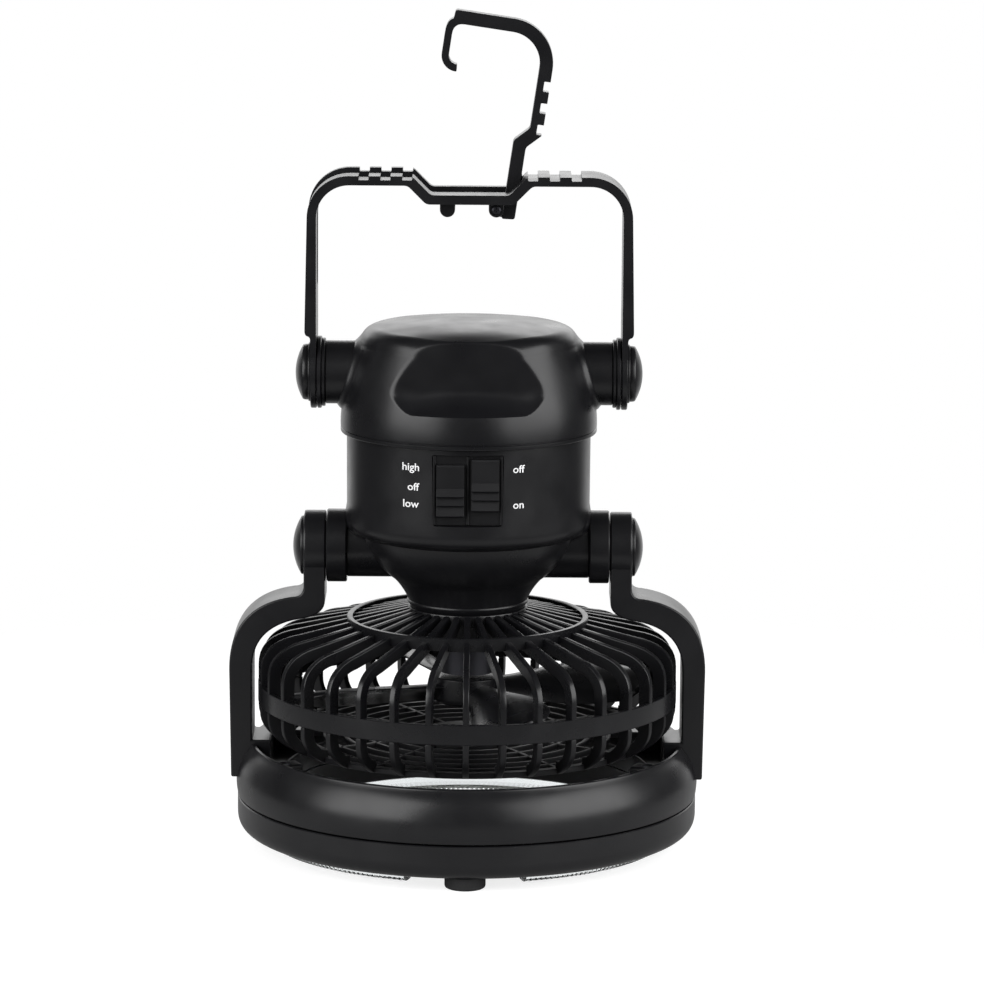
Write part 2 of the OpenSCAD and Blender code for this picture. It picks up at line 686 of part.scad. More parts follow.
// Neck and lower pivots
neck_mid = [lip_d / 2 + shell_wall * 2, lip_z + lip_drop * 0.4];
neck_bend_r = (neck_top_r + lip_d / 2) / 2 - shell_wall;
neck_edge = concat(
    curve([neck_top_r, neck_top], [neck_top_r - shell_wall, tilt_z - neck_rise],
          [neck_bend_r, tilt_z - lip_drop * 0.6]),
    curve([neck_bend_r, tilt_z - lip_drop * 0.6], neck_mid, [lip_d / 2, lip_z]));
ledge_r = neck_top_r - ledge_w;
module neck_solid(inset) {
    rotate_extrude() polygon(concat(shift(neck_edge, -inset),
        [[lip_d / 2 - inset, cage_top], [0, cage_top], [0, neck_top]]));
}
module shell_screw_places() {
    turn_all(4, 45) translate([ledge_r + screw_head_d / 2 + fit_gap, 0, 0]) children();
}
module neck_shell() {
    color(black) difference() {
        union() {
            neck_solid(0);
            for (s = [-1, 1]) on_side(s) rod(ledge_r, tube_end, tilt_z, tube_d);
        }
        difference() {
            neck_solid(shell_wall);
            translate([0, 0, neck_top - shell_wall]) cylinder(h = shell_wall + over, r = neck_top_r);
            translate([0, 0, cage_top]) cylinder(h = lip_h, r = lip_d / 2);
            for (s = [-1, 1]) on_side(s) rod(ledge_r, tube_end, tilt_z, tube_d);
        }
        translate([0, 0, neck_top - shell_wall - over]) cylinder(h = shell_wall + 2 * over, r = ledge_r);
        translate([0, 0, cage_top - over]) cylinder(h = lip_h + 2 * over, d = motor_d + 2 * fit_gap);
        for (s = [-1, 1]) on_side(s) {
            rod(ledge_r - over, tube_end - thread_l - shell_wall, tilt_z, tube_d - 2 * shell_wall);
            rod(tube_end - thread_l - 2 * shell_wall, tube_end + over, tilt_z, thread_d + 2 * fit_gap);
        }
        shell_screw_places() translate([0, 0, tilt_z]) cylinder(h = lip_drop, d = screw_d + 2 * fit_gap);
        cage_screw_places() translate([0, 0, cage_top - over]) cylinder(h = lip_h + 2 * over, d = screw_d);
    }
}
module collar(side) {
    color(black) on_side(side) difference() {
        rod(tube_end, hub_in - collar_gap, tilt_z, collar_d);
        rod(tube_end - over, hub_in, tilt_z, bolt_d + 2 * fit_gap);
    }
}
module collar_left() { collar(-1); }
module collar_right() { collar(1); }
module pivot_bolts() {
    color(steel) for (s = [-1, 1]) on_side(s) {
        rod(tube_end - thread_l, tube_end, tilt_z, thread_d);
        rod(tube_end, hub_out - bolt_head_h, tilt_z, bolt_d);
        rod(hub_out - bolt_head_h, hub_out - move_gap, tilt_z, bolt_head_d);
    }
}
module friction_washers() {
    color("#6d6f72") for (s = [-1, 1]) on_side(s) difference() {
        rod(hub_in - collar_gap, hub_in - collar_gap + washer_t - fit_gap, tilt_z, washer_d);
        rod(tube_end, hub_out, tilt_z, bolt_d + 2 * fit_gap);
    }
}

// Lower shell and switches
module lower_shell() {
    color(black) difference() {
        union() {
            rotate_extrude() polygon(concat(
                curve([neck_top_r, neck_top], [lower_r - fit_gap, neck_top + shell_wall / 2],
                      [lower_r - fit_gap, neck_top + lower_round]),
                [[lower_r, body_seam - groove], [lower_r - shell_wall / 2, body_seam - groove],
                 [lower_r - shell_wall / 2, body_seam + spigot_h], [lower_r - shell_wall, body_seam + spigot_h],
                 [lower_r - shell_wall, neck_top + lower_round], [neck_top_r - shell_wall,
                     neck_top + shell_wall / 2],
                 [neck_top_r - shell_wall, neck_top]]));
            shell_screw_places() translate([0, 0, neck_top]) cylinder(h = lower_round, d = screw_head_d);
            intersection() {
                shell_screw_places() translate([0, -board_t / 2, neck_top + lower_round / 2])
                    cube([lower_r, board_t, lower_round / 2 - fit_gap]);
                cylinder(h = body_seam, r = lower_r - shell_wall / 2);
            }
        }
        for (s = [-1, 1]) on_side(s) rod(0, tube_end + over, tilt_z, tube_d + 2 * fit_gap);
        translate([-panel_w / 2, -lower_r - over, panel_top - panel_h]) cube([panel_w, lower_r, panel_h]);
        shell_screw_places() translate([0, 0, neck_top - over])
            cylinder(h = lower_round + over - board_t / 2, d = screw_d);
    }
}
knob_slot_h = lever_h + 2 * knob_step + 2 * move_gap;
module switch_plate() {
    flange_h = panel_h + 2 * panel_drop - 2 * groove;
    color(dark) difference() {
        union() {
            translate([-panel_w / 2 + fit_gap, -panel_y, panel_mid - panel_h / 2 + fit_gap])
                cube([panel_w - 2 * fit_gap, panel_t, panel_h - 2 * fit_gap]);
            intersection() {
                translate([-panel_w / 2 - shell_wall, -panel_y + panel_t - fit_gap, panel_mid - flange_h / 2])
                    cube([panel_w + 2 * shell_wall, board_t + fit_gap, flange_h]);
                cylinder(h = body_seam, r = lower_r - shell_wall - fit_gap);
            }
        }
        for (s = [-1, 1])
            translate([s * knob_pitch / 2 - lever_w / 2 - move_gap, -panel_y - over,
                panel_mid - knob_slot_h / 2])
                cube([lever_w + 2 * move_gap, panel_t + board_t + 2 * over, knob_slot_h]);
    }
}
// A sliding knob with saw-tooth grip steps on its lower part, and its lever
module knob(x, z) {
    y0 = -panel_y - move_gap;
    step_h = knob_h * 0.6 / knob_ridges;
    teeth = [for (i = [0:knob_ridges - 1], k = [0:1])
        [-knob_out + (k == 0 ? 0 : ridge_depth), knob_h * 0.1 + (i + k) * step_h]];
    color(dark) translate([x, 0, z - knob_h / 2]) {
        translate([-knob_w / 2, y0, 0]) rotate([90, 0, 90]) linear_extrude(knob_w)
            polygon(concat([[0, 0], [-knob_out + ridge_depth, 0]], teeth,
                           [[-knob_out + ridge_depth * 1.5, knob_h], [0, knob_h]]));
        translate([-lever_w / 2, y0, knob_h / 2 - lever_h / 2])
            cube([lever_w, panel_t + board_t, lever_h]);
    }
}
module fan_switch_knob() { knob(-knob_pitch / 2, panel_mid); }
module light_switch_knob() { knob(knob_pitch / 2, panel_mid + knob_step); }
switch_y = -panel_y + panel_t + board_t;
module switch_body(x) {
    color("#2f3133") translate([x - switch_w / 2, switch_y, panel_mid - switch_h / 2])
        cube([switch_w, switch_t, switch_h]);
}
module fan_switch() { switch_body(-knob_pitch / 2); }
module light_switch() { switch_body(knob_pitch / 2); }
module control_board() {
    color("#2f6b45") translate([-control_w / 2, switch_y + switch_t, panel_mid - control_h / 2])
        cube([control_w, board_t, control_h]);
}

// Upper shell
upper_edge = concat(
    curve([upper_r, body_seam], [upper_r + shell_wall / 8, body_seam + upper_h * 0.35],
          [crown_r, body_top - crown_drop]),
    curve([crown_r, body_top - crown_drop], [crown_r - top_in * 0.25, body_top - top_dome * 1.8],
          [top_r, body_top - top_dome]),
    [[top_r * 0.4, body_top - top_dome * 0.15], [0, body_top]]);
module upper_solid(inset, drop) {
    rotate_extrude() polygon(concat([[0, body_seam - drop]], [for (p = upper_edge)
        [max(p[0] - inset, 0), p[1] == body_seam ? body_seam - drop : p[1] - inset]]));
}
// The grip scoop's outline, grown by g on its sides and bottom
function scoop_outline(g) = let (
    low = body_seam + scoop_rise - g, high = low + scoop_h + g, w = scoop_half + g, t = scoop_top + g,
    bend = low + scoop_h * 0.3)
    concat(curve([0, low], [w * 0.8, low], [w * 0.93, low + scoop_h * 0.12]),
           curve([w * 0.93, low + scoop_h * 0.12], [w * 1.06, low + scoop_h * 0.28], [w * 0.92,
               bend + scoop_h * 0.22]),
           [[t, high]]);
module scoop_cut(g) {
    outline = concat(scoop_outline(g), mirrored(scoop_outline(g)));
    for (s = [0, 180]) rotate([0, 0, s]) difference() {
        slab(outline, -2 * upper_r, -scoop_half);
        upper_solid(scoop_depth + g, over);
    }
}
module upper_tubes(d) { for (s = [-1, 1]) on_side(s) rod(crown_r - ledge_w, boss_end, swing_z, d); }
module upper_shell() {
    color(black) difference() {
        union() {
            difference() {
                upper_solid(0, 0);
                scoop_cut(0);
                difference() {
                    upper_solid(shell_wall, over);
                    scoop_cut(shell_wall);
                }
            }
            difference() {
                upper_tubes(boss_d);
                upper_solid(shell_wall, over);
            }
        }
        difference() {
            upper_tubes(boss_d - 2 * shell_wall);
            for (s = [-1, 1]) on_side(s) rod(boss_end - shell_wall, boss_end, swing_z, boss_d);
            upper_solid(0, 0);
        }
        for (s = [-1, 1]) on_side(s) rod(upper_r + shell_wall, boss_end + over, swing_z,
            thread_d + 2 * fit_gap);
    }
}
handle_plate = handle_in - move_gap;
module handle_collar(side) {
    color(black) on_side(side) difference() {
        rod(boss_end, handle_plate, swing_z, disc_d);
        rod(boss_end - over, handle_plate + over, swing_z, handle_bolt_d + 2 * fit_gap);
    }
}
module handle_collar_left() { handle_collar(-1); }
module handle_collar_right() { handle_collar(1); }
handle_cap_x = handle_in + disc_t;
module handle_bolts() {
    color(steel) for (s = [-1, 1]) on_side(s) {
        rod(boss_end - shell_wall, boss_end, swing_z, thread_d);
        rod(boss_end, handle_cap_x - disc_t / 2, swing_z, handle_bolt_d);
    }
}

// Batteries
module battery(side) {
    color("#6e7277") on_side(side) translate([cell_x, 0, cell_z]) {
        cylinder(h = cell_l, d = cell_d);
        cylinder(h = cell_l + cell_tip_h, d = cell_tip_d);
    }
}
module battery_left() { battery(-1); }
module battery_right() { battery(1); }
tray_low = tilt_z + tube_d / 2 + fit_gap * 4;
module battery_tray() {
    color(dark) difference() {
        union() {
            translate([0, 0, neck_top]) cylinder(h = tray_floor, r = ledge_r - 3 * fit_gap);
            translate([-cell_x / 2, -tray_t, neck_top]) cube([cell_x, 2 * tray_t,
                tray_low - neck_top + tray_h]);
            for (s = [-1, 1]) translate([s * cell_x, 0, tray_low])
                cylinder(h = tray_h, d = cell_d + 2 * fit_gap + 2 * tray_t);
        }
        for (s = [-1, 1]) translate([s * cell_x, 0, neck_top + tray_floor])
            cylinder(h = cell_l, d = cell_d + 2 * fit_gap);
    }
}
module contact_springs() {
    coil = spring_h / 4;
    color(steel) for (s = [-1, 1], i = [0:3])
        translate([s * cell_x, 0, neck_top + tray_floor + i * coil]) difference() {
            cylinder(h = coil, d = spring_d - i * coil);
            translate([0, 0, -over]) cylinder(h = 2 * over + coil, d = spring_d - i * coil - 2 * tray_t);
        }
}
module contact_strip() {
    color("#c9b27a") translate([-cell_x - strip_w / 2, -strip_w / 2, cell_z + cell_l + cell_tip_h])
        cube([2 * cell_x + strip_w, strip_w, strip_t]);
}
module shell_screws() {
    color(steel) shell_screw_places() mirror([0, 0, 1])
        screw(-neck_top + shell_wall, lower_round + shell_wall - board_t, screw_d - fit_gap, screw_head_d,
            screw_head_h);
}

// Motor, cage and guard
module motor_mount() {
    color(dark) difference() {
        translate([0, 0, cage_top - mount_h]) cylinder(h = mount_h, d = mount_d);
        translate([0, 0, cage_top - mount_h - over]) cylinder(h = mount_h + 2 * over,
            d = motor_d + 2 * fit_gap);
    }
}
module motor() {
    color(steel) translate([0, 0, motor_low]) cylinder(h = motor_l, d = motor_d);
}
cage_r = cage_d / 2;
cage_low = cage_top - cage_h;
band_top = cage_top - band_drop;
band_low = band_top - band_h;
rib_start = lip_d / 2 - tie_t;
function cage_path(d) = concat(
    [[rib_start, cage_top - d - fit_gap]],
    curve([corner_d / 2, cage_top - cage_slope - d], [cage_r - d,
        cage_top - cage_slope - 3 * d / 4 - rib_d / 2],
          [cage_r - d, cage_top - corner_drop]));
function heel_path(d) = concat(
    curve([cage_r - d, band_low - rib_d / 2], [cage_r - d, cage_low + rib_d + d / 2], [heel_d / 2,
        cage_low + d]),
    [[heel_d / 2 - grille_w, cage_low + d]]);
module rib(pts) { rotate([90, 0, 0]) translate([0, 0, -rib_t / 2]) linear_extrude(rib_t) polygon(pts); }
function backwards(pts) = [for (i = [len(pts) - 1:-1:0]) pts[i]];
centre_low = cage_top - centre_h;
module cage_screw_places() {
    turn_all(4, 45) translate([(mount_d + cage_head_d) / 2 + 2 * fit_gap, 0, 0]) children();
}
module rear_cage() {
    tie_z = cage_top - cage_slope * (tie_d - lip_d) / (corner_d - lip_d);
    color(black) difference() {
        union() {
            turn_all(ribs, -90) rib(concat(cage_path(0), [[cage_r, band_low], [cage_r - rib_d, band_low]],
                                           backwards(cage_path(rib_d))));
            rotate_extrude() translate([cage_r - band_t + fit_gap, band_low + fit_gap])
                square([band_t, band_h - fit_gap]);
            rotate_extrude() translate([tie_d / 2 - tie_t / 2, tie_z - tie_h]) square([tie_t, tie_h]);
            translate([0, 0, centre_low]) difference() {
                cylinder(h = centre_h, r = rib_start + tie_t / 2);
                translate([0, 0, -over]) cylinder(h = centre_h + 2 * over, d = mount_d + 2 * fit_gap);
            }
        }
        cage_screw_places() translate([0, 0, centre_low - over])
            cylinder(h = centre_h + 2 * over, d = screw_d + 2 * fit_gap);
    }
}
module front_guard() {
    outer_w = grille_w * 2;
    disc_r = grille_disc_d / 2;
    pitch = (heel_d / 2 - disc_r) / grille_rings;
    color(black) {
        turn_all(ribs, -90) rib(concat([[cage_r - rib_d, band_low], [cage_r, band_low]], heel_path(0),
                                       backwards(heel_path(rib_d))));
        for (i = [1:grille_rings]) rotate_extrude()
            translate([disc_r + i * pitch - (i == grille_rings ? outer_w : grille_w), cage_low])
                square([i == grille_rings ? outer_w : grille_w, grille_t]);
        translate([0, 0, cage_low]) cylinder(h = grille_t, r = disc_r);
        turn_all(spokes, -90) translate([disc_r - grille_w, -grille_w / 2, cage_low])
            cube([heel_d / 2 - disc_r, grille_w, grille_t]);
    }
}
module cage_screws() {
    color(steel) cage_screw_places() mirror([0, 0, 1])
        screw(-centre_low, centre_h + lip_h, screw_d - fit_gap, cage_head_d, screw_head_h);
}
module fan_rotor() {
    hub_r = rotor_hub_d / 2;
    span = rotor_d / 2;
    chord = span * 2 * tan(blade_angle / 2);
    color(black) difference() {
        union() {
            translate([0, 0, rotor_top - rotor_hub_h]) cylinder(h = rotor_hub_h, d = rotor_hub_d);
            intersection() {
                translate([0, 0, rotor_top - rotor_hub_h * 2]) cylinder(h = rotor_hub_h * 3, d = rotor_d);
                turn_all(blades, blade_first) translate([0, 0, rotor_top - rotor_hub_h / 2])
                    rotate([blade_pitch, 0, 0])
                    translate([0, 0, -blade_t / 2]) linear_extrude(blade_t) polygon(concat(
                        [[hub_r - blade_t, -hub_r / 2]],
                        curve([hub_r, -hub_r / 2], [span * 0.5, -chord * 0.16], [span * 0.78, -chord * 0.22]),
                        curve([span * 0.78, -chord * 0.22], [span * 1.02, -chord * 0.16], [span, chord * 0.1]),
                        curve([span * 0.9, chord * 0.2], [span * 0.5, chord * 0.26], [hub_r, hub_r / 2]),
                        [[hub_r - blade_t, hub_r / 2]]));
            }
        }
        translate([0, 0, rotor_top - rotor_hub_h * 3]) cylinder(h = rotor_hub_h * 6, d = shaft_d);
    }
}
module motor_shaft() {
    color(steel) translate([0, 0, motor_low - shaft_l]) cylinder(h = shaft_l - fit_gap, d = shaft_d);
}

// Handle
strap_half = concat(
    [[0, dip_low], [dip_half + strap_t / 2, dip_low],
     [dip_half + strap_t / 2 + dip_drop, shoulder_top - strap_t]],
    arc([corner_x, corner_z], corner_r - strap_t, 90, 0),
    [[handle_in, swing_z], [handle_in + disc_t, swing_z], [handle_in + disc_t, swing_z + thick_low],
     [handle_out + flare, swing_z + thick_low]],
    arc([corner_x, corner_z], corner_r, 0, 90),
    [[dip_half + dip_drop, shoulder_top], [dip_half, dip_top], [0, dip_top]]);
strap_outline = concat(strap_half, mirrored(strap_half));
function raised(pts, d) = [for (p = pts) [p[0], p[1] + d]];
module notch_cuts(depth, top) {
    for (s = [-1, 1], i = [0:notches - 1])
        translate([s * (dip_half + dip_drop + i * notch_pitch + notch_w / 2) - notch_w / 2, -strap_w,
            top - depth])
            cube([notch_w, 2 * strap_w, 2 * notch_depth]);
}
module tab(x, y0) {
    slab(concat([[x + tab_w / 2, dip_low + strap_t / 2], [x - tab_w / 2, dip_low + strap_t / 2]],
                arc([x, pin_z], tab_w / 2, 180, 360)), y0, y0 + tab_t);
}
module handle() {
    back = strap_w / 2;
    color(black) difference() {
        union() {
            difference() {
                slab(strap_outline, -back, back);
                notch_cuts(notch_depth, shoulder_top);
            }
            difference() {
                intersection() {
                    slab(raised(strap_outline, rail_rise), slot_y + slot_w, back);
                    translate([-strap_w * 4, 0, corner_z]) cube([strap_w * 4 + slot_end, back, strap_w * 2]);
                }
                notch_cuts(notch_depth, shoulder_top + rail_rise);
            }
            for (x = [-tab_x, pin_x], y = [slot_y - tab_t, slot_y + slot_w]) tab(x, y);
            for (s = [-1, 1]) on_side(s) rod(handle_in, handle_in + disc_t, swing_z, disc_d);
        }
        translate([-handle_out - strap_w, slot_y, swing_z + hook_low - tip_t])
            cube([handle_out + strap_w + slot_end, slot_w, handle_h]);
        for (s = [-1, 1]) on_side(s)
            rod(handle_in - over, handle_in + disc_t + over, swing_z, handle_bolt_d + 2 * run_gap);
        translate([pin_x, strap_w, pin_z]) rotate([90, 0, 0]) cylinder(h = strap_w * 2,
            d = pin_d + fit_gap / 5);
    }
}
module handle_cap(side) { cap(side, handle_cap_x, swing_z, grip_cap_d, grip_cap_h); }
module handle_cap_left() { handle_cap(-1); }
module handle_cap_right() { handle_cap(1); }
module hook_pin() {
    y0 = slot_y - tab_t;
    color(steel) translate([pin_x, 0, pin_z]) rotate([-90, 0, 0]) {
        translate([0, 0, y0]) cylinder(h = slot_w + 2 * tab_t, d = pin_d);
        translate([0, 0, y0 - pin_head_h]) cylinder(h = pin_head_h, d = pin_head_d);
    }
}

// Hook, drawn folded into the handle's slot and turned up about its pin
hook_dip = dip_top + rail_rise;
hook_top = shoulder_top - hook_sink;
hook_run = hook_top - hook_dip;
hook_mid = [-hook_out + hook_r, hook_top - hook_r];
hook_foot = swing_z + hook_low;
tip_low = hook_foot - tip_t;
tip_mid = [-tip_x, tip_low + tip_r];
hook_upper = concat(
    [[pin_x + hook_t * 0.7, hook_dip - hook_t], [pin_x + hook_t * 0.6, hook_dip], [-dip_half, hook_dip],
     [-dip_half - hook_run, hook_top]],
    arc(hook_mid, hook_r, 90, 180),
    [[-hook_out, hook_foot], [-hook_out + tip_t, hook_foot - tip_t / 2], [-hook_out + hook_t, tip_low]]);
hook_curl = concat(arc(tip_mid, tip_r, -90, 5), backwards(arc(tip_mid, tip_r - tip_t, -90, 5)));
hook_lower = concat(
    curve([-hook_out + hook_t + tip_t * 1.5, tip_low + tip_t], [-hook_out + hook_t, tip_low + tip_t],
          [-hook_out + hook_t, tip_low + tip_t * 2.5]),
    arc(hook_mid, hook_r - hook_t, 180, 90),
    [[-dip_half - hook_run - hook_t / 2.4, hook_top - hook_t], [-dip_half - hook_t / 2.4, hook_dip - hook_t]]);
module hook_notches() {
    for (i = [0:notches - 1])
        translate([-dip_half - hook_run - notch_w * 1.1 + notch_w * 0.1 - i * notch_pitch, -strap_w,
            hook_top - hook_notch])
            cube([notch_w, 2 * strap_w, hook_t]);
}
module hook() {
    y0 = slot_mid - hook_w / 2;
    color(black) translate([pin_x, 0, pin_z]) rotate([0, hook_open, 0]) translate([-pin_x, 0, -pin_z])
        difference() {
            union() {
                slab(concat(hook_upper, hook_curl, hook_lower), y0, y0 + hook_w);
                slab(concat([[pin_x - tab_w / 2, hook_dip - hook_t / 2], [pin_x + tab_w / 2,
                    hook_dip - hook_t / 2]],
                            arc([pin_x, pin_z], tab_w / 2, 360, 180)), y0, y0 + hook_w);
            }
            hook_notches();
            translate([pin_x, strap_w, pin_z]) rotate([90, 0, 0])
                cylinder(h = strap_w * 2, d = pin_d + 2 * run_gap);
        }
}

ring_upper_shell();
ring_lower_shell();
lens_segments();
lamp_board();
lamps();
rubber_feet();
arm_left();
arm_right();
arm_screws();
ring_screws();
pivot_cap_left();
pivot_cap_right();
neck_shell();
lower_shell();
upper_shell();
collar_left();
collar_right();
handle_collar_left();
handle_collar_right();
pivot_bolts();
friction_washers();
handle_bolts();
switch_plate();
fan_switch();
light_switch();
control_board();
battery_left();
battery_right();
battery_tray();
contact_springs();
contact_strip();
shell_screws();
motor_mount();
motor();
rear_cage();
front_guard();
cage_screws();
fan_switch_knob();
light_switch_knob();
fan_rotor();
motor_shaft();
handle();
handle_cap_left();
handle_cap_right();
hook_pin();
hook();
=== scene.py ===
"""The looks of a portable camping fan: moulded black shells, a ribbed cage, a light ring and a folding hook.

Outlines and places are in millimetres, in the frame's own axes, and each finished mesh is turned to metres.
"""
import json
from math import asin, cos, hypot, pi, radians, sin

import bmesh
import bpy
from mathutils import Matrix, Vector


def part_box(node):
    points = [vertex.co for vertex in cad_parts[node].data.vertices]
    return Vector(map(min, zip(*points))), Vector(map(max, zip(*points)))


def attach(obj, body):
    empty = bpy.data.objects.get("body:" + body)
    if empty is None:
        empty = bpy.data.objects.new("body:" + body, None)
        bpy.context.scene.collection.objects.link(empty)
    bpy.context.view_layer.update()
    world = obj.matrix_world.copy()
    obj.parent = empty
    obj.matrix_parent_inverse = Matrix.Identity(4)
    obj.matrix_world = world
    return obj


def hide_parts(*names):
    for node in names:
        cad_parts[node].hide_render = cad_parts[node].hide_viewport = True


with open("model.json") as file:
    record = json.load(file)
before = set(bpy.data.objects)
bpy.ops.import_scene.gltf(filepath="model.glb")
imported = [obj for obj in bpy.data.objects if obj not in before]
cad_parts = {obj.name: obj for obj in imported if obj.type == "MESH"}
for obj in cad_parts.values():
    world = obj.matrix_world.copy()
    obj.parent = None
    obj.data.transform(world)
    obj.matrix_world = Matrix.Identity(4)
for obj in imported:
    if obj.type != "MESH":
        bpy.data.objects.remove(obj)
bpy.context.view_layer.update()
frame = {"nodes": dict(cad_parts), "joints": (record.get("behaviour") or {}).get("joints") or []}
MM = 0.001


def span(node):
    """A node's lowest and highest corner, in millimetres."""
    return [[value / MM for value in corner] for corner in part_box(node)]


axes = {joint["name"]: [value / MM for value in joint.get("pos_m", (0, 0, 0))] for joint in frame["joints"]}
tilt_z = axes["head_tilt"][2]
swing_z = axes["handle_swing"][2]
pin_x, pin_y, pin_z = axes["hook_fold"]


# Outlines and meshes

def curve(start, pull, end, count=10):
    """Points of a quadratic curve from start through the pull to end."""
    steps = [i / count for i in range(count + 1)]
    return [tuple((1 - t) ** 2 * a + 2 * t * (1 - t) * b + t * t * c for a, b, c in zip(start, pull, end))
            for t in steps]


def arc(middle, radius, first, last, count=12):
    """Points of an arc, with its angles in degrees."""
    angles = [radians(first + (last - first) * i / count) for i in range(count + 1)]
    return [(middle[0] + radius * cos(a), middle[1] + radius * sin(a)) for a in angles]


def mirrored(points):
    """The outline's other half, running back."""
    return [(-x, z) for x, z in reversed(points)]


def eased(points, reach, sharp=18):
    """A closed outline whose corners are rounded over a reach."""
    result = []
    for i, point in enumerate(points):
        here = Vector(point)
        back, ahead = Vector(points[i - 1]) - here, Vector(points[(i + 1) % len(points)]) - here
        if back.length < 1e-6 or ahead.length < 1e-6:
            continue
        if pi - back.angle(ahead) < radians(sharp):
            result.append(point)
            continue
        start = here + back.normalized() * min(reach, back.length * 0.45)
        end = here + ahead.normalized() * min(reach, ahead.length * 0.45)
        result += curve(start, here, end, 4)
    return result


def ease(t):
    """A smooth step from 0 to 1."""
    t = min(max(t, 0.0), 1.0)
    return t * t * (3 - 2 * t)


def tidy(bm):
    """Merges doubles and turns the faces outwards."""
    bmesh.ops.remove_doubles(bm, verts=bm.verts, dist=0.002)
    bmesh.ops.dissolve_degenerate(bm, edges=bm.edges, dist=0.001)
    bmesh.ops.recalc_face_normals(bm, faces=bm.faces)
    return bm


def revolve(outline, steps=192, first=0.0, turn=360.0, shape=None):
    """A closed outline of radius and height, turned about Z. A shape function may move each point."""
    bm = bmesh.new()
    whole = turn == 360.0
    columns = []
    for i in range(steps if whole else steps + 1):
        angle = radians(first + turn * i / steps)
        points = [shape(r, z, angle) for r, z in outline] if shape else outline
        columns.append([bm.verts.new((r * cos(angle), r * sin(angle), z)) for r, z in points])
    for i in range(steps):
        here, there = columns[i], columns[(i + 1) % len(columns)]
        for k in range(len(outline)):
            n = (k + 1) % len(outline)
            bm.faces.new((here[k], there[k], there[n], here[n]))
    if not whole:
        bm.faces.new(columns[0])
        bm.faces.new(columns[-1])
    return tidy(bm)


def ring_section(inner, outer, low, high, edge):
    """The section of a flat ring, with its four corners cut off."""
    return [(inner, low + edge), (inner + edge, low), (outer - edge, low), (outer, low + edge),
            (outer, high - edge), (outer - edge, high), (inner + edge, high), (inner, high - edge)]


def rounded_edges(bm, width, steps=3, sharp=28):
    """Rounds every edge that is sharper than an angle."""
    edges = [e for e in bm.edges if e.is_manifold and e.calc_face_angle(0) > radians(sharp)]
    bmesh.ops.bevel(bm, geom=edges, offset=width, segments=steps, profile=0.5, affect="EDGES",
                    clamp_overlap=True)
    return bm


def slab(outline, near, far, edge=0.0, steps=3):
    """An outline of x and z given depth along Y, with rounded edges."""
    bm = bmesh.new()
    ends = [[bm.verts.new((x, y, z)) for x, z in outline] for y in (near, far)]
    for end in ends:
        bm.faces.new(end)
    for k in range(len(outline)):
        n = (k + 1) % len(outline)
        bm.faces.new((ends[0][k], ends[0][n], ends[1][n], ends[1][k]))
    tidy(bm)
    return rounded_edges(bm, edge, steps) if edge else bm


def block(low, high, edge=0.0, steps=3):
    """A box between two corners, with rounded edges."""
    outline = [(low[0], low[2]), (high[0], low[2]), (high[0], high[2]), (low[0], high[2])]
    return slab(outline, low[1], high[1], edge, steps)


def moved(bm, matrix):
    """A mesh put elsewhere, with its faces kept outwards."""
    bmesh.ops.transform(bm, matrix=matrix, verts=bm.verts)
    if matrix.determinant() < 0:
        bmesh.ops.reverse_faces(bm, faces=bm.faces)
    return bm


def on_side(bm, side, height=0.0):
    """A mesh turned about Z laid along X, outwards from the middle, at a height."""
    bmesh.ops.rotate(bm, cent=(0, 0, 0), matrix=Matrix.Rotation(radians(90), 3, "Y"), verts=bm.verts)
    bmesh.ops.translate(bm, vec=(0, 0, height), verts=bm.verts)
    return moved(bm, Matrix.Diagonal((side, 1, 1, 1)))


def joined(*meshes):
    """Several meshes as one."""
    result = bmesh.new()
    for bm in meshes:
        mesh = bpy.data.meshes.new("part")
        bm.to_mesh(mesh)
        bm.free()
        result.from_mesh(mesh)
        bpy.data.meshes.remove(mesh)
    return result


def loose(bm):
    """A plain object that holds a mesh for a while."""
    mesh = bpy.data.meshes.new("part")
    bm.to_mesh(mesh)
    bm.free()
    item = bpy.data.objects.new("part", mesh)
    bpy.context.collection.objects.link(item)
    return item


def taken(item, *others):
    """The evaluated mesh of an object, which then goes, with the others."""
    graph = bpy.context.evaluated_depsgraph_get()
    mesh = bpy.data.meshes.new_from_object(item.evaluated_get(graph))
    result = bmesh.new()
    result.from_mesh(mesh)
    for used in (item, *others):
        bpy.data.objects.remove(used)
    return result


def cut(bm, tool, how="DIFFERENCE"):
    """One mesh cut by another, or united with it."""
    item, other = loose(bm), loose(tool)
    change = item.modifiers.new("cut", "BOOLEAN")
    change.operation, change.object, change.solver = how, other, "EXACT"
    return taken(item, other)


# Copies round the fan's axis

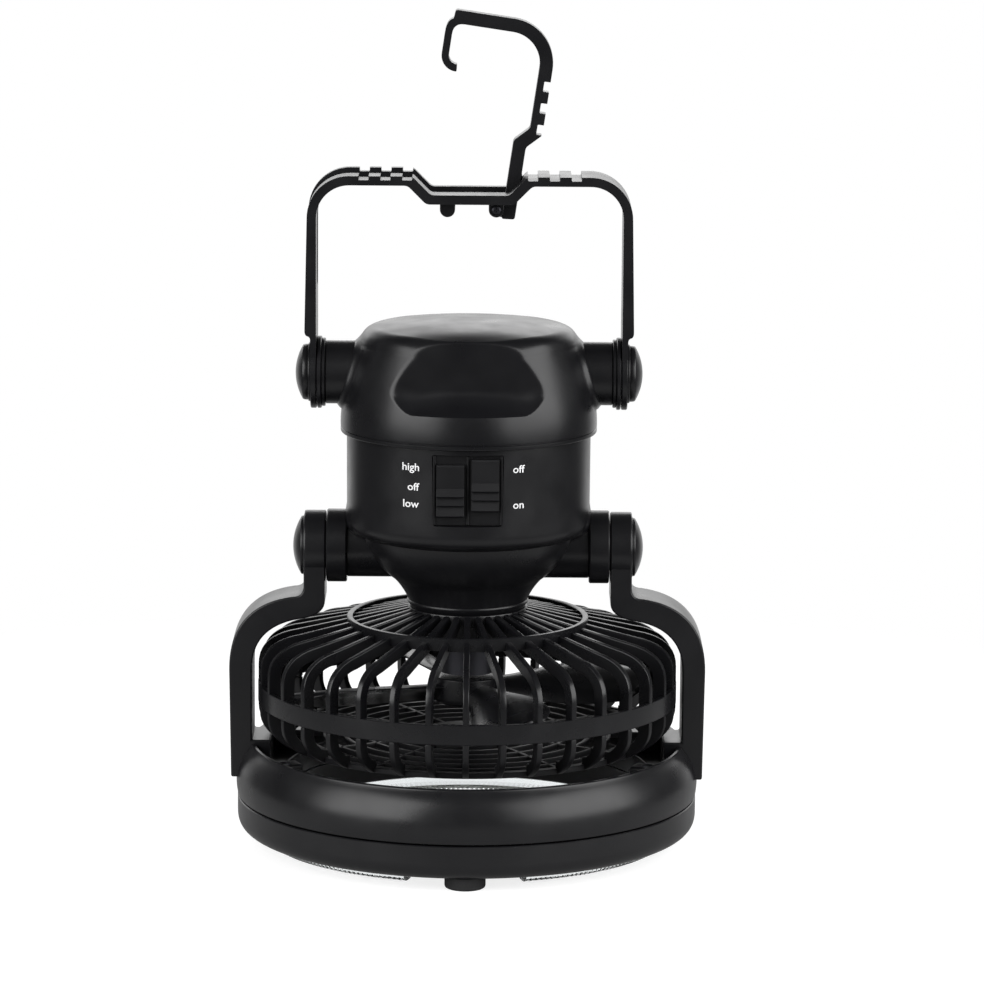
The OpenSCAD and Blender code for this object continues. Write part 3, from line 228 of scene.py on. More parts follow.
def around_tree():
    """Nodes that set copies of a piece round the fan's axis."""
    tree = bpy.data.node_groups.new("Around the axis", "GeometryNodeTree")
    for name, kind in (("Copied piece", "NodeSocketObject"), ("Copies", "NodeSocketInt"),
                       ("First angle", "NodeSocketFloat"), ("Angle between", "NodeSocketFloat"),
                       ("Finish", "NodeSocketMaterial")):
        tree.interface.new_socket(name, in_out="INPUT", socket_type=kind)
    tree.interface.new_socket("Geometry", in_out="OUTPUT", socket_type="NodeSocketGeometry")
    sizes = add(tree, "NodeGroupInput").outputs
    places = add(tree, "GeometryNodePoints", inputs={"Count": sizes["Copies"]})
    source = add(tree, "GeometryNodeObjectInfo", inputs={"Object": sizes["Copied piece"]})
    turn = add(tree, "ShaderNodeMath", {"operation": "MULTIPLY_ADD"},
               {0: add(tree, "GeometryNodeInputIndex").outputs[0], 1: sizes["Angle between"],
                2: sizes["First angle"]})
    spin = add(tree, "ShaderNodeCombineXYZ", inputs={"Z": turn.outputs[0]})
    copies = add(tree, "GeometryNodeInstanceOnPoints",
                 inputs={"Points": places.outputs[0], "Instance": source.outputs["Geometry"],
                         "Rotation": spin.outputs[0]})
    real = add(tree, "GeometryNodeRealizeInstances", inputs={"Geometry": copies.outputs[0]})
    dressed = add(tree, "GeometryNodeSetMaterial",
                  inputs={"Geometry": real.outputs[0], "Material": sizes["Finish"]})
    add(tree, "NodeGroupOutput", inputs={"Geometry": dressed.outputs[0]})
    return tree


def around(bm, copies, finish, first=0.0, between=None):
    """Copies of a mesh round the fan's axis, as one mesh. Angles are in degrees."""
    source, holder = loose(bm), loose(bmesh.new())
    change = holder.modifiers.new("copies", "NODES")
    change.node_group = copies_around
    wanted = {"Copied piece": source, "Copies": copies, "First angle": radians(first),
              "Angle between": radians(between or 360 / copies), "Finish": finish}
    for socket in copies_around.interface.items_tree:
        if socket.in_out == "INPUT":
            change[socket.identifier] = wanted[socket.name]
    return taken(holder, source)


# Nodes and colours

def add(tree, kind, settings=None, inputs=None):
    """Adds a node with its settings, and gives its inputs a value or a link."""
    node = tree.nodes.new(kind)
    for name, value in (settings or {}).items():
        setattr(node, name, value)
    for name, value in (inputs or {}).items():
        if isinstance(value, bpy.types.NodeSocket):
            tree.links.new(value, node.inputs[name])
        else:
            node.inputs[name].default_value = value
    return node


def linear(code):
    """A linear colour from an sRGB hex value."""
    parts = [int(code[i:i + 2], 16) / 255 for i in (1, 3, 5)]
    return (*[c / 12.92 if c <= 0.04045 else ((c + 0.055) / 1.055) ** 2.4 for c in parts], 1.0)


def per_metre(size):
    """A pattern's scale, for details of a size in millimetres."""
    return 1 / (size * MM)


def moulded(name, dark, light, rough, grain, depth, gloss=0.5, cloud=14.0):
    """A moulded or pressed finish: cloudy colour and a grained surface.

    grain is the spacing of the surface's grain and depth its height, both in millimetres.
    """
    material = bpy.data.materials.new(name)
    material.use_nodes = True
    tree = material.node_tree
    surface = tree.nodes["Principled BSDF"]
    place = add(tree, "ShaderNodeTexCoord").outputs["Object"]
    clouds = add(tree, "ShaderNodeTexNoise",
                 inputs={"Vector": place, "Scale": per_metre(cloud), "Detail": 3.0})
    colour = add(tree, "ShaderNodeMix", {"data_type": "RGBA"},
                 {0: clouds.outputs[0], 6: linear(dark), 7: linear(light)}).outputs[2]
    tree.links.new(colour, surface.inputs["Base Color"])
    specks = add(tree, "ShaderNodeTexNoise",
                 inputs={"Vector": place, "Scale": per_metre(grain), "Detail": 2.0})
    shine = add(tree, "ShaderNodeMapRange",
                inputs={0: clouds.outputs[0], 1: 0.3, 2: 0.7, 3: rough - 0.04, 4: rough + 0.05})
    tree.links.new(shine.outputs[0], surface.inputs["Roughness"])
    relief = add(tree, "ShaderNodeBump",
                 inputs={"Height": specks.outputs[0], "Strength": 0.5, "Distance": depth * MM})
    tree.links.new(relief.outputs[0], surface.inputs["Normal"])
    surface.inputs["Specular IOR Level"].default_value = gloss
    return material


def metal(name, base, rough, stretch, line):
    """A drawn or stamped metal: fine lines along one axis, at a spacing in millimetres."""
    material = moulded(name, base, base, rough, line, 0.01)
    tree = material.node_tree
    surface = tree.nodes["Principled BSDF"]
    surface.inputs["Metallic"].default_value = 1.0
    place = add(tree, "ShaderNodeTexCoord").outputs["Object"]
    squeezed = add(tree, "ShaderNodeMapping", inputs={"Vector": place, "Scale": stretch})
    lines = add(tree, "ShaderNodeTexNoise", inputs={"Vector": squeezed.outputs[0], "Scale": per_metre(line)})
    shine = add(tree, "ShaderNodeMapRange", inputs={0: lines.outputs[0], 3: rough - 0.08, 4: rough + 0.12})
    tree.links.new(shine.outputs[0], surface.inputs["Roughness"])
    return material


copies_around = around_tree()

# Satin ABS, moulded in a lightly spark eroded tool: deep black with broad, soft highlights
satin_abs = moulded("Satin black ABS", "#0c0c0e", "#121214", 0.31, 0.35, 0.01, 0.36)
# The same ABS with a coarser tool grain: the knobs, their plate and the guard scatter more light
grained_abs = moulded("Grained black ABS", "#0b0b0d", "#101012", 0.44, 0.5, 0.03, 0.3)
# Polypropylene ribs and blades: a little glossier, with thin light edges
cage_plastic = moulded("Black polypropylene", "#0b0b0d", "#111113", 0.28, 0.4, 0.008, 0.36)
# Vulcanised rubber: a dull, slightly grey skin with no clear highlight
foot_rubber = moulded("Black rubber", "#1a1a1b", "#232324", 0.72, 0.4, 0.05, 0.3)
# Nylon: waxy dark grey
nylon = moulded("Grey nylon", "#3a3b3d", "#47484a", 0.5, 0.8, 0.02)
# Solder mask over glass fibre: the weave shows faintly under a glossy coat
white_mask = moulded("White solder mask", "#e4e6e0", "#f0f1ec", 0.35, 0.9, 0.03)
green_mask = moulded("Green solder mask", "#1e5a38", "#276a44", 0.35, 0.9, 0.03)
# Phosphor under silicone: a soft pale yellow, slightly glossy
phosphor = moulded("Lamp phosphor", "#e9dc86", "#f4ebae", 0.25, 0.3, 0.02)
# Shrunk film on a cell: plain grey, semi-gloss, with faint clouds
cell_film = moulded("Grey battery film", "#5c6065", "#6a6f74", 0.34, 1.2, 0.02)
# Pad printed ink: flat white with a slightly ragged tone
white_ink = moulded("White ink", "#d6d6d8", "#e6e6e6", 0.55, 0.2, 0.005, 0.3, cloud=2.0)
# Zinc plated steel: a cool grey with a soft, drawn shine
zinc_steel = metal("Zinc plated steel", "#b4b8bc", 0.34, (1.0, 1.0, 0.1), 0.25)
# Blacked steel: the motor's can and the hook's pin, a thin dark oxide over a smooth drawn surface
black_oxide = metal("Black oxide steel", "#3c3c40", 0.42, (1.0, 1.0, 0.1), 0.3)
# Brass strip, rolled: a warm yellow with fine lines along its length
brass_strip = metal("Rolled brass", "#cbb06a", 0.3, (0.08, 1.0, 1.0), 0.2)


def lens_plastic():
    """Clear polystyrene: colourless, so that the floor's white shows through its moulded ridges."""
    material = moulded("Clear polystyrene", "#f4f7f8", "#fbfcfc", 0.1, 0.6, 0.01)
    surface = material.node_tree.nodes["Principled BSDF"]
    surface.inputs["Transmission Weight"].default_value = 1.0
    # Below the real 1.59, because the thin shell would mirror the dark around it
    surface.inputs["IOR"].default_value = 1.25
    return material


clear_lens = lens_plastic()


def piece(name, bm, body, finish, *nodes, slot="black_plastic", crease=40):
    """Makes a mesh in millimetres a finished piece on its body, in place of its CAD nodes."""
    bmesh.ops.scale(bm, vec=(MM, MM, MM), verts=bm.verts)
    for face in bm.faces:
        face.smooth = True
        face.material_index = 0
    for edge in bm.edges:
        edge.smooth = edge.is_manifold and edge.calc_face_angle(0) < radians(crease)
    item = loose(bm)
    item.modifiers.new("flat faces", "WEIGHTED_NORMAL").keep_sharp = True
    graph = bpy.context.evaluated_depsgraph_get()
    mesh = bpy.data.meshes.new_from_object(item.evaluated_get(graph))
    item.modifiers.clear()
    item.data = mesh
    item.name = mesh.name = name
    mesh.materials.clear()
    mesh.materials.append(finish)
    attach(item, body)
    if nodes:
        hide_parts(*nodes)
    return item


# Light ring

ring_r, seam_z = 82.8, 17.8
rim_r, rim_z, rim_in = 78.2, 36.4, 76.1
hole_r, gutter_z = 65.5, 25.9
under_r, under_z, under_round = 76.8, 4.6, 6.4
ring_wall, groove = 2.2, 0.5
strap_y = 11.0
arm_in, arm_end_z = 77.2, 24.4
boss_turns = [s * a for s in (-1, 1) for a in (66, 114)]
boss_top, boss_half, boss_r = 33.8, 4.0, 71.0
screw_r, ledge_z = 2.6, 15.0
foot_turns, foot_r = (-90, 30, 150), 70.6
pad_turn, lens_clear = 16.5, 0.1
lens_turn = 360 / 3 - 2 * pad_turn


def ring_upper():
    """The ring's upper shell: a bulging wall, a rim with a gutter inside and four screw bosses."""
    soft = 0.7
    outer = curve((ring_r, seam_z + 0.3), (ring_r + 2.0, 28.3), (rim_r, rim_z - soft), 16)
    rim = curve((rim_r, rim_z - soft), (rim_r - 0.1, rim_z), (rim_r - soft, rim_z), 4)
    rim += curve((rim_in + soft, rim_z), (rim_in, rim_z), (rim_in, rim_z - soft), 4)
    gutter = curve((rim_in, gutter_z + 2), (rim_in, gutter_z), (rim_in - 2, gutter_z), 5)
    gutter += curve((hole_r + 1, gutter_z), (hole_r, gutter_z), (hole_r, gutter_z - 1), 5)
    inside = [(hole_r, seam_z), (hole_r + ring_wall, seam_z), (hole_r + ring_wall, gutter_z - ring_wall),
              (ring_r - ring_wall, gutter_z - ring_wall), (ring_r - ring_wall, seam_z),
              (ring_r - 0.5, seam_z)]
    bm = revolve(outer + rim + gutter + inside, 240)
    for turn in boss_turns:
        boss = block((hole_r - 0.5, -boss_half, gutter_z - 1), (rim_in + 0.5, boss_half, boss_top), 1.0)
        slope = Matrix.Rotation(radians(turn - 90), 4, "Z")
        bm = cut(bm, moved(boss, slope), "UNION")
        hole = revolve([(0, boss_top - screw_r), (screw_r, boss_top - screw_r), (screw_r, boss_top + 2),
                        (0, boss_top + 2)], 32)
        place = Matrix.Translation((boss_r, 0, 0))
        bm = cut(bm, moved(hole, slope @ place))
    for side in (-1, 1):
        reach = (arm_in - 0.15) * side, (ring_r + 5) * side
        notch = block((min(reach), -strap_y - 0.15, arm_end_z - 0.2), (max(reach), strap_y + 0.15, rim_z + 2))
        bm = cut(bm, notch)
        reach = (arm_in - 6.9) * side, (ring_r + 1) * side
        notch = block((min(reach), -strap_y - 0.15, gutter_z), (max(reach), strap_y + 0.15, rim_z + 2))
        bm = cut(bm, notch)
    piece("ring_upper", bm, "stand", satin_abs, "ring_upper_shell")


def ring_lower():
    """The ring's lower shell, rounded in at the underside, with solid blocks where the feet stand."""
    top = seam_z - groove
    outer = [(ring_r - ring_wall, top), (ring_r - 0.3, top), (ring_r, top - 0.3)]
    outer += curve((ring_r, under_z + under_round), (ring_r, under_z), (under_r - 1.2, under_z), 14)
    inner = [(75.3, under_z), (75.3, under_z + ring_wall), (78.4, 10.0), (78.4, ledge_z),
             (ring_r - ring_wall, ledge_z)]
    wall = [(hole_r + 0.3, 6.9), (hole_r + ring_wall, 6.9), (hole_r + ring_wall, ledge_z),
            (hole_r + 1.1, ledge_z), (hole_r + 1.1, top), (hole_r, top), (hole_r, 7.2)]
    pad = [(hole_r + 0.1, under_z + 0.3), (hole_r + 0.4, under_z), (under_r - 0.3, under_z),
           (under_r - 0.3, 9.0), (hole_r + 0.1, 9.0)]
    pads = [revolve(pad, 24, turn - pad_turn, 2 * pad_turn) for turn in foot_turns]
    piece("ring_lower", joined(revolve(outer + inner, 240), revolve(wall, 192), *pads), "stand", satin_abs,
          "ring_lower_shell")


def lens():
    """Three lens segments, with moulded ridges across them that scatter the lamps' light."""
    low, out, ridges, ridge_h = 1.4, 75.2, 56, 0.25
    turn = lens_turn - 2 * lens_clear
    section = [(65.6, 6.8)] + curve((65.6, 3.6), (65.6, low), (67.4, low), 4)
    section += curve((70.4, low), (74.4, low), (out, under_z), 6)
    section += [(out, 6.8), (73.6, 6.8), (73.6, 4.8), (71.4, 3.1), (68.4, 3.1), (67.3, 4.8), (67.3, 6.8)]

    def ridged(r, z, angle):
        """Presses ridges into the outside of the lens."""
        if z > 5.5 or (67.2 < r < 74.2 and z > 2.6):
            return r, z
        along = ((angle / radians(turn)) * ridges) % 1.0
        bump = ridge_h * (1 - abs(2 * along - 1))
        return r + (0.6 * bump if r < 67 else -0.6 * bump if r > 74 else 0.0), z + bump

    segment = revolve(section, ridges * 4, 0.0, turn, ridged)
    bm = around(segment, 3, clear_lens, -90 + pad_turn + lens_clear)
    piece("lens_segments_ridged", bm, "stand", clear_lens, "lens_segments", slot="clear_lens", crease=15)


def lamp_row():
    """Surface mounted lamps: a white body with a round well of phosphor."""
    count, middle = 7, 70.35
    share = lens_turn / count
    low, high = span("lamps")
    body = block((middle - 1.75, -1.4, low[2] + 0.2), (middle + 1.75, 1.4, high[2]), 0.2, 2)
    well = revolve([(0, low[2] + 0.05), (0.9, low[2] + 0.05), (1.15, low[2] + 0.3), (1.15, high[2] - 0.2),
                    (0, high[2] - 0.2)], 16)
    bodies = around(around(body, count, white_mask, share / 2, share), 3, white_mask, -90 + pad_turn)
    moved(well, Matrix.Translation((middle, 0, 0)))
    wells = around(around(well, count, phosphor, share / 2, share), 3, phosphor, -90 + pad_turn)
    piece("lamp_bodies", bodies, "stand", white_mask, "lamps", slot="lamp_resin")
    piece("lamp_wells", wells, "stand", phosphor, slot="lamp_resin")


def feet():
    """Three rubber feet with a chamfer and a shallow dish underneath."""
    outline = [(0, 0.5), (4.6, 0.5), (5.2, 0.0)] + curve((6.2, 0), (7.2, 0), (7.2, 1.0), 4)
    outline += [(7.2, under_z - 0.2), (7.0, under_z), (0, under_z)]
    foot = moved(revolve(outline, 48), Matrix.Translation((foot_r, 0, 0)))
    piece("rubber_feet_dished", around(foot, 3, foot_rubber, -90), "stand", foot_rubber, "rubber_feet",
          slot="rubber")


# Arms and lower pivots

hub_in, hub_out, hub_r = 51.0, 58.7, 12.6
shoulder_z = tilt_z - 17.0
arm_out = ring_r + 2.6
foot_in, foot_top = arm_in - 6.7, gutter_z + 12.2


def arm(side, name):
    """An arm: a bent strap with a round hub above and a foot inside the ring."""
    bend_z = shoulder_z - 26.6
    outline = [(hub_out, tilt_z)]
    outline += curve((hub_out, shoulder_z + 4), (hub_out, shoulder_z), (hub_out + 4, shoulder_z), 8)
    outline += curve((hub_out + 4, shoulder_z), (arm_out, shoulder_z - 3.2), (arm_out, bend_z), 20)
    outline += [(arm_out - 0.6, arm_end_z), (arm_in, arm_end_z), (arm_in, gutter_z), (foot_in, gutter_z),
                (foot_in, foot_top), (arm_in, foot_top)]
    outline += curve((arm_in, bend_z), (arm_in, shoulder_z - 11.4), (hub_out + 2, shoulder_z - 8.2), 16)
    outline += curve((hub_out - 0.2, shoulder_z - 7.9), (hub_in + 0.1, shoulder_z - 6.2),
                     (hub_in + 0.1, shoulder_z - 1.6), 10)
    outline += [(hub_in + 0.1, tilt_z)]
    strap = moved(slab(outline, -strap_y, strap_y, 0.7), Matrix.Diagonal((side, 1, 1, 1)))
    hub = [(5.3, hub_in), (hub_r - 0.4, hub_in), (hub_r, hub_in + 0.4), (hub_r, hub_out - 0.7)]
    hub += curve((hub_r, hub_out - 0.7), (hub_r, hub_out), (hub_r - 0.7, hub_out), 3)
    hub += [(11.2, hub_out), (11.0, hub_out - 0.5), (5.3, hub_out - 0.5)]
    piece(name + "_moulded", joined(strap, on_side(revolve(hub, 96), side, tilt_z)), "stand", satin_abs, name)


def dome(side, name, body, base, height_z, radius, skirt, rise, rim):
    """A round pivot cap: a rim ring, a short skirt and a shallow dome."""
    outline = [(0, base), (radius + rim, base), (radius + rim, base + 0.5)]
    outline += curve((radius + rim, base + 0.5), (radius + rim, base + 0.9),
                     (radius + rim - 0.4, base + 0.9), 3)
    outline += [(radius - 0.3, base + 0.7)]
    outline += curve((radius, base + 1.1), (radius, base + skirt), (radius - 0.5, base + skirt + 0.15), 4)
    outline += curve((radius - 0.5, base + skirt + 0.15), (radius / 2, base + rise), (0, base + rise), 14)
    piece(name + "_domed", on_side(revolve(outline, 96), side, height_z), body, satin_abs, name)


def lower_collar(side, name):
    """The collar on a lower pivot tube, with a shadow line beside the hub."""
    low, high = tube_out, 50.6
    outline = [(5.2, low), (12.7, low), (13.1, low + 0.4), (13.1, high - 0.4), (12.7, high), (5.2, high)]
    piece(name + "_turned", on_side(revolve(outline, 96), side, tilt_z), "head", satin_abs, name)


# Head

neck_top, body_seam = 112.6, 149.8
body_top = body_seam + 40.0
lower_r, base_r, seam_r = 43.6, 43.5, 45.8
tube_r, tube_out, bolt_r = 11.2, 43.4, 2.1
upper_tube_r, upper_tube_out = 11.3, 51.2
disc_r, disc_bore = 12.9, 4.1
knob_x = 6.15
window_half, window_low, window_high = 12.6, 122.4, 147.8
plate_y = -41.0


def neck():
    """The funnel under the body, its down-turned lip and the two lower pivot tubes."""
    outline = curve((38.3, neck_top), (35.6, 102.8), (26.8, 96.6), 14)
    outline += curve((26.8, 96.6), (23.4, 93.2), (21.5, 88.8), 8)
    outline += curve((21.7, 88.6), (21.9, 88.2), (21.7, 87.8), 3)
    outline += [(20.5, cage_top + 0.1), (20.2, cage_top), (10.2, cage_top), (10.2, 88.4), (19.6, 88.4)]
    outline += [(24.4, 96.0), (34.2, 106.0), (35.9, neck_top)]
    tube = [(8.8, 26.3), (tube_r, 26.3), (tube_r, tube_out - 0.4), (tube_r - 0.4, tube_out),
            (bolt_r, tube_out), (bolt_r, 38.6), (8.8, 32.0)]
    tubes = [on_side(revolve(tube, 96), side, tilt_z) for side in (-1, 1)]
    piece("neck", joined(revolve(outline, 192), *tubes), "head", satin_abs, "neck_shell")


def lower_body():
    """The lower shell: a soft bottom edge, the switch window and arches over the pivot tubes."""
    top = body_seam - 0.4
    outline = curve((38.3, neck_top), (base_r, neck_top + 1.2), (base_r, neck_top + 6), 12)
    outline += [(base_r + 0.1 * i / 12, neck_top + 6 + (top - neck_top - 6) * i / 12) for i in range(1, 13)]
    outline += [(42.4, top), (42.4, body_seam + 4), (41.2, body_seam + 4), (41.2, neck_top + 6),
                (35.9, neck_top + 1.2), (35.9, neck_top)]

    def rolled(r, z, angle):
        """Rolls the shell outwards round each pivot tube."""
        away = hypot(r * sin(angle), z - tilt_z) - tube_r
        return (r + 1.1 * ease(1 - away / 4.0) if r > 37 else r), z

    bm = revolve(outline, 360, shape=rolled)
    for side in (-1, 1):
        bore = revolve([(0, 20), (tube_r + 0.35, 20), (tube_r + 0.35, 60), (0, 60)], 96)
        bm = cut(bm, on_side(bore, side, tilt_z))
    corner = eased([(-window_half + 0.4, window_low), (window_half - 0.4, window_low),
                    (window_half, window_high), (-window_half, window_high)], 1.1)
    bm = tidy(cut(bm, slab(corner, -60, -30)))
    bmesh.ops.holes_fill(bm, edges=[edge for edge in bm.edges if edge.is_boundary], sides=12)
    piece("lower_body", bm, "head", satin_abs, "lower_shell")


def switch_well():
    """The plate behind the window, with three raised rails and a slot for each knob's lever."""
    low = (-window_half + 0.1, plate_y, window_low + 0.1)
    high = (window_half - 0.1, plate_y + 2, window_high - 0.1)
    behind = (low[0] - 2.2, plate_y + 2.05, low[2] - 1.5), (high[0] + 2.2, plate_y + 3.5, high[2] + 1.5)
    plates = []
    for ends in ((low, high), behind):
        plate = block(*ends, 0.3)
        for x in (-knob_x, knob_x):
            plate = cut(plate, block((x - 1.8, plate_y - 2, 130.8), (x + 1.8, plate_y + 5, 139.4)))
        plates.append(plate)
    rails = [block((x - 0.5, plate_y - 0.7, window_low + 0.4),
                   (x + 0.5, plate_y - 0.02, window_high - 0.4), 0.3) for x in (-11.8, 0.0, 11.8)]
    piece("switch_well", joined(*plates, *rails), "head", grained_abs, "switch_plate")


def knob(x, middle, name, body):
    """A sliding knob: a plain upper face and three slanted grip steps."""
    half_w, half_h, out = 4.85, 9.3, 3.4
    top = middle + half_h
    side = [(plate_y - 0.3, middle - half_h), (plate_y - 0.3, top), (plate_y - 2.2, top),
            (plate_y - 2.5, top - 0.6), (plate_y - 2.3, middle + 1.1)]
    for drop, rise in ((8.2, 11.3), (12.2, 14.4), (15.3, 18.2)):
        side += [(plate_y - 2.5, top - drop), (plate_y - 0.3 - out, top - rise + 0.3),
                 (plate_y - 3.3, top - rise), (plate_y - 2.1, top - rise - 0.1)]
    side[-1] = (plate_y - 2.6, middle - half_h)
    bm = slab(side, x - half_w, x + half_w, 0.22, 2)
    turned = Matrix(((0, 1, 0, 0), (1, 0, 0, 0), (0, 0, 1, 0), (0, 0, 0, 1)))
    bm = moved(bm, turned)
    lever = block((x - 1.5, plate_y - 0.4, middle - 2), (x + 1.5, plate_y + 3.5, middle + 2), 0.2)
    piece(name + "_ridged", joined(bm, lever), body, grained_abs, name)


def legend(words, x, z, align):
    """A printed word that follows the curve of the lower shell."""
    text = bpy.data.curves.new(words, "FONT")
    text.body, text.align_x, text.align_y, text.size = words, align, "CENTER", 3.8
    text.offset, text.resolution_u = 0.025, 3
    ink = Vector((0, 0, 0.12))
    item = bpy.data.objects.new("word", text)
    bpy.context.collection.objects.link(item)
    bm = taken(item)
    bmesh.ops.remove_doubles(bm, verts=bm.verts, dist=0.002)
    raised = {vert: bm.verts.new(vert.co + ink) for vert in bm.verts[:]}
    rims = [edge.verts[:] for edge in bm.edges if edge.is_boundary]
    for face in bm.faces[:]:
        bm.faces.new([raised[vert] for vert in face.verts])
    for a, b in rims:
        bm.faces.new((a, b, raised[b], raised[a]))
    bmesh.ops.recalc_face_normals(bm, faces=bm.faces)
    for vert in bm.verts:
        turn = asin((x + vert.co.x) / lower_r)
        r = lower_r - 0.05 + vert.co.z
        vert.co = (r * sin(turn), -r * cos(turn), z + vert.co.y)
    return bm


def legends():
    """The printed words beside the two switches."""
    words = [legend(*word) for word in (
        ("high", -16.9, 142.9, "RIGHT"), ("off", -17.2, 135.9, "RIGHT"), ("low", -17.2, 129.8, "RIGHT"),
        ("off", 15.7, 142.5, "LEFT"), ("on", 15.8, 129.8, "LEFT"))]
    piece("switch_words", joined(*words), "head", white_ink, slot="white_board", crease=30)


scoop_y, scoop_z, scoop_rise = 34.0, 161.4, 8
crown_fall, crown_bend = 0.00214, 0.01


def scoop_low(x):
    """Height of a scoop's lower edge at a place across it."""
    return scoop_z + 0.11 * max(abs(x) - 19, 0) ** 1.9


def upper_body():
    """The upper shell: a domed top, a scooped grip in front and behind, and the upper pivot tubes."""
    crown = [(39.0, 181.6), (38.3, 186.7), (33.5, 187.4)]
    outer = [(44.9, body_seam)]
    outer += curve((seam_r - 0.4, body_seam), (seam_r, body_seam), (seam_r, body_seam + 0.5), 3)
    outer += [(seam_r, 151.2), (seam_r - 0.3, 151.4), (seam_r - 0.3, 151.6), (seam_r, 151.8)]
    outer += curve((45.82, 152.2), (46.0, 164.8), crown[0], 64)
    outer += curve(*crown, 18)[1:] + [(r, body_top - crown_fall * r * r) for r in (30, 26, 22, 17, 12, 6, 0)]
    inner = [(0, body_top - 2.6), (28, 185.6), (32.0, 183.6)]
    inner += curve((34.6, 180), (43.4, 164), (43.5, body_seam), 14)
    wall, soft, draw, swell = 2.2, 0.9, 3.4, 1.8

    def scooped(r, z, angle):
        """Presses the grips in, and draws the wall out round the pivot tubes."""
        x, y = r * cos(angle), r * sin(angle)
        if r < 20 or z < 158:
            return r, z
        limit = scoop_y / max(abs(sin(angle)), 0.2)
        if (r, z) in inner:
            return min(r, limit - wall), z
        z -= crown_bend * max(abs(y) - 24, 0) ** 2 * ease((z - 172) / 16)
        edge = max(soft - abs(limit - r), 0.0)
        press = min(limit - r, 0.0) - edge * edge / (4 * soft)
        up = min(max((z - scoop_low(x)) / scoop_rise, 0.0), 1.0)
        r += press * (1 - (1 - up) ** 2)
        away = max(hypot(y, z - swing_z) - upper_tube_r, 0)
        if away < draw:
            r += swell * (1 - away / draw) ** 2
        return r, z

    shell = revolve(outer + inner, 720, shape=scooped)
    tube = [(8.9, 40), (upper_tube_r, 40), (upper_tube_r, upper_tube_out - 0.4),
            (upper_tube_r - 0.4, upper_tube_out), (bolt_r, upper_tube_out), (bolt_r, 48.8), (8.9, 48.8)]
    tubes = [on_side(revolve(tube, 96), side, swing_z) for side in (-1, 1)]
    piece("upper_body", joined(shell, *tubes), "head", satin_abs, "upper_shell")


def upper_collar(side, name):
    """The stepped collar between an upper tube and the handle's disc."""
    outline = [(disc_bore, upper_tube_out), (12.0, upper_tube_out), (12.2, 51.4), (12.2, 52.2), (11.9, 52.4),
               (disc_r - 0.3, 52.5), (disc_r, 52.8), (disc_r, 53.7), (disc_r - 0.3, 54.0), (disc_bore, 54.0)]
    piece(name + "_stepped", on_side(revolve(outline, 96), side, swing_z), "head", satin_abs, name)


# Cage and rotor

cage_top, cage_low = 86.0, 37.4
cage_r, rib_half, rib_deep = 75.3, 1.1, 4.6
band_top, band_low = 58.6, 51.5
heel_r, rib_count = 66.0, 36
band_in, band_out = 73.4, 75.4


def rib_line(drop):
    """A rib's line from the neck over the corner to the band, moved inwards by a drop."""
    corner = curve((61.0, 76.8 - drop), (cage_r - drop, 74.5 - 0.75 * drop), (cage_r - drop, 64.0), 10)
    return [(20.9, cage_top - 0.1 - drop)] + corner


def heel_line(drop):
    """A lower rib end's line from the band in to the grille, moved inwards by a drop."""
    return curve((cage_r - drop, band_low - 2.3), (cage_r - drop, cage_low + rib_deep + drop / 2),
                 (heel_r, cage_low + drop), 8) + [(heel_r - 1.6, cage_low + drop)]


def rear_basket():
    """The rear cage: ribs, the wide band, the thin connecting ring and the ring on the neck."""
    outline = rib_line(0) + [(cage_r, band_low), (cage_r - rib_deep, band_low)] + rib_line(rib_deep)[::-1]
    rib = slab(outline, -rib_half, rib_half, 0.45, 2)
    ribs = around(rib, rib_count, cage_plastic, -90)
    band = ring_section(band_in, band_out, band_low, band_top, 0.2)
    tie = [(41.5, 77.8), (43.3, 77.8), (43.4, 82.1), (43.1, 82.4), (41.8, 82.4), (41.4, 82.1)]
    centre = [(16.6, 82.0), (21.2, 82.0), (21.5, 82.3), (21.5, cage_top - 0.4), (21.2, cage_top),
              (16.6, cage_top)]
    rings = [revolve(band, 216), revolve(tie, 180), revolve(centre, 96)]
    piece("rear_basket", joined(ribs, *rings), "head", cage_plastic, "rear_cage")


def front_basket():
    """The front guard: lower rib ends, and a flat grille of rings and spokes."""
    outline = [(cage_r - rib_deep, band_low), (cage_r, band_low)] + heel_line(0) + heel_line(rib_deep)[::-1]
    heels = around(slab(outline, -rib_half, rib_half, 0.45, 2), rib_count, grained_abs, -90)
    plate_r, thick, ring_count, spoke_count = 17.0, 2.0, 7, 12
    pitch = (heel_r - plate_r) / ring_count
    parts = [heels, revolve([(0, cage_low), (plate_r - 0.4, cage_low), (plate_r, cage_low + 0.4),
                             (plate_r, cage_low + thick), (0, cage_low + thick)], 96)]
    for i in range(1, ring_count + 1):
        out, wide = plate_r + i * pitch, 3.2 if i == ring_count else 1.6
        parts.append(revolve(ring_section(out - wide, out, cage_low, cage_low + thick, 0.3), 144))
    spoke = block((plate_r - 1, -0.8, cage_low), (heel_r - 0.5, 0.8, cage_low + thick), 0.3, 2)
    parts.append(around(spoke, spoke_count, grained_abs, -90))
    piece("front_basket", joined(*parts), "head", grained_abs, "front_guard")


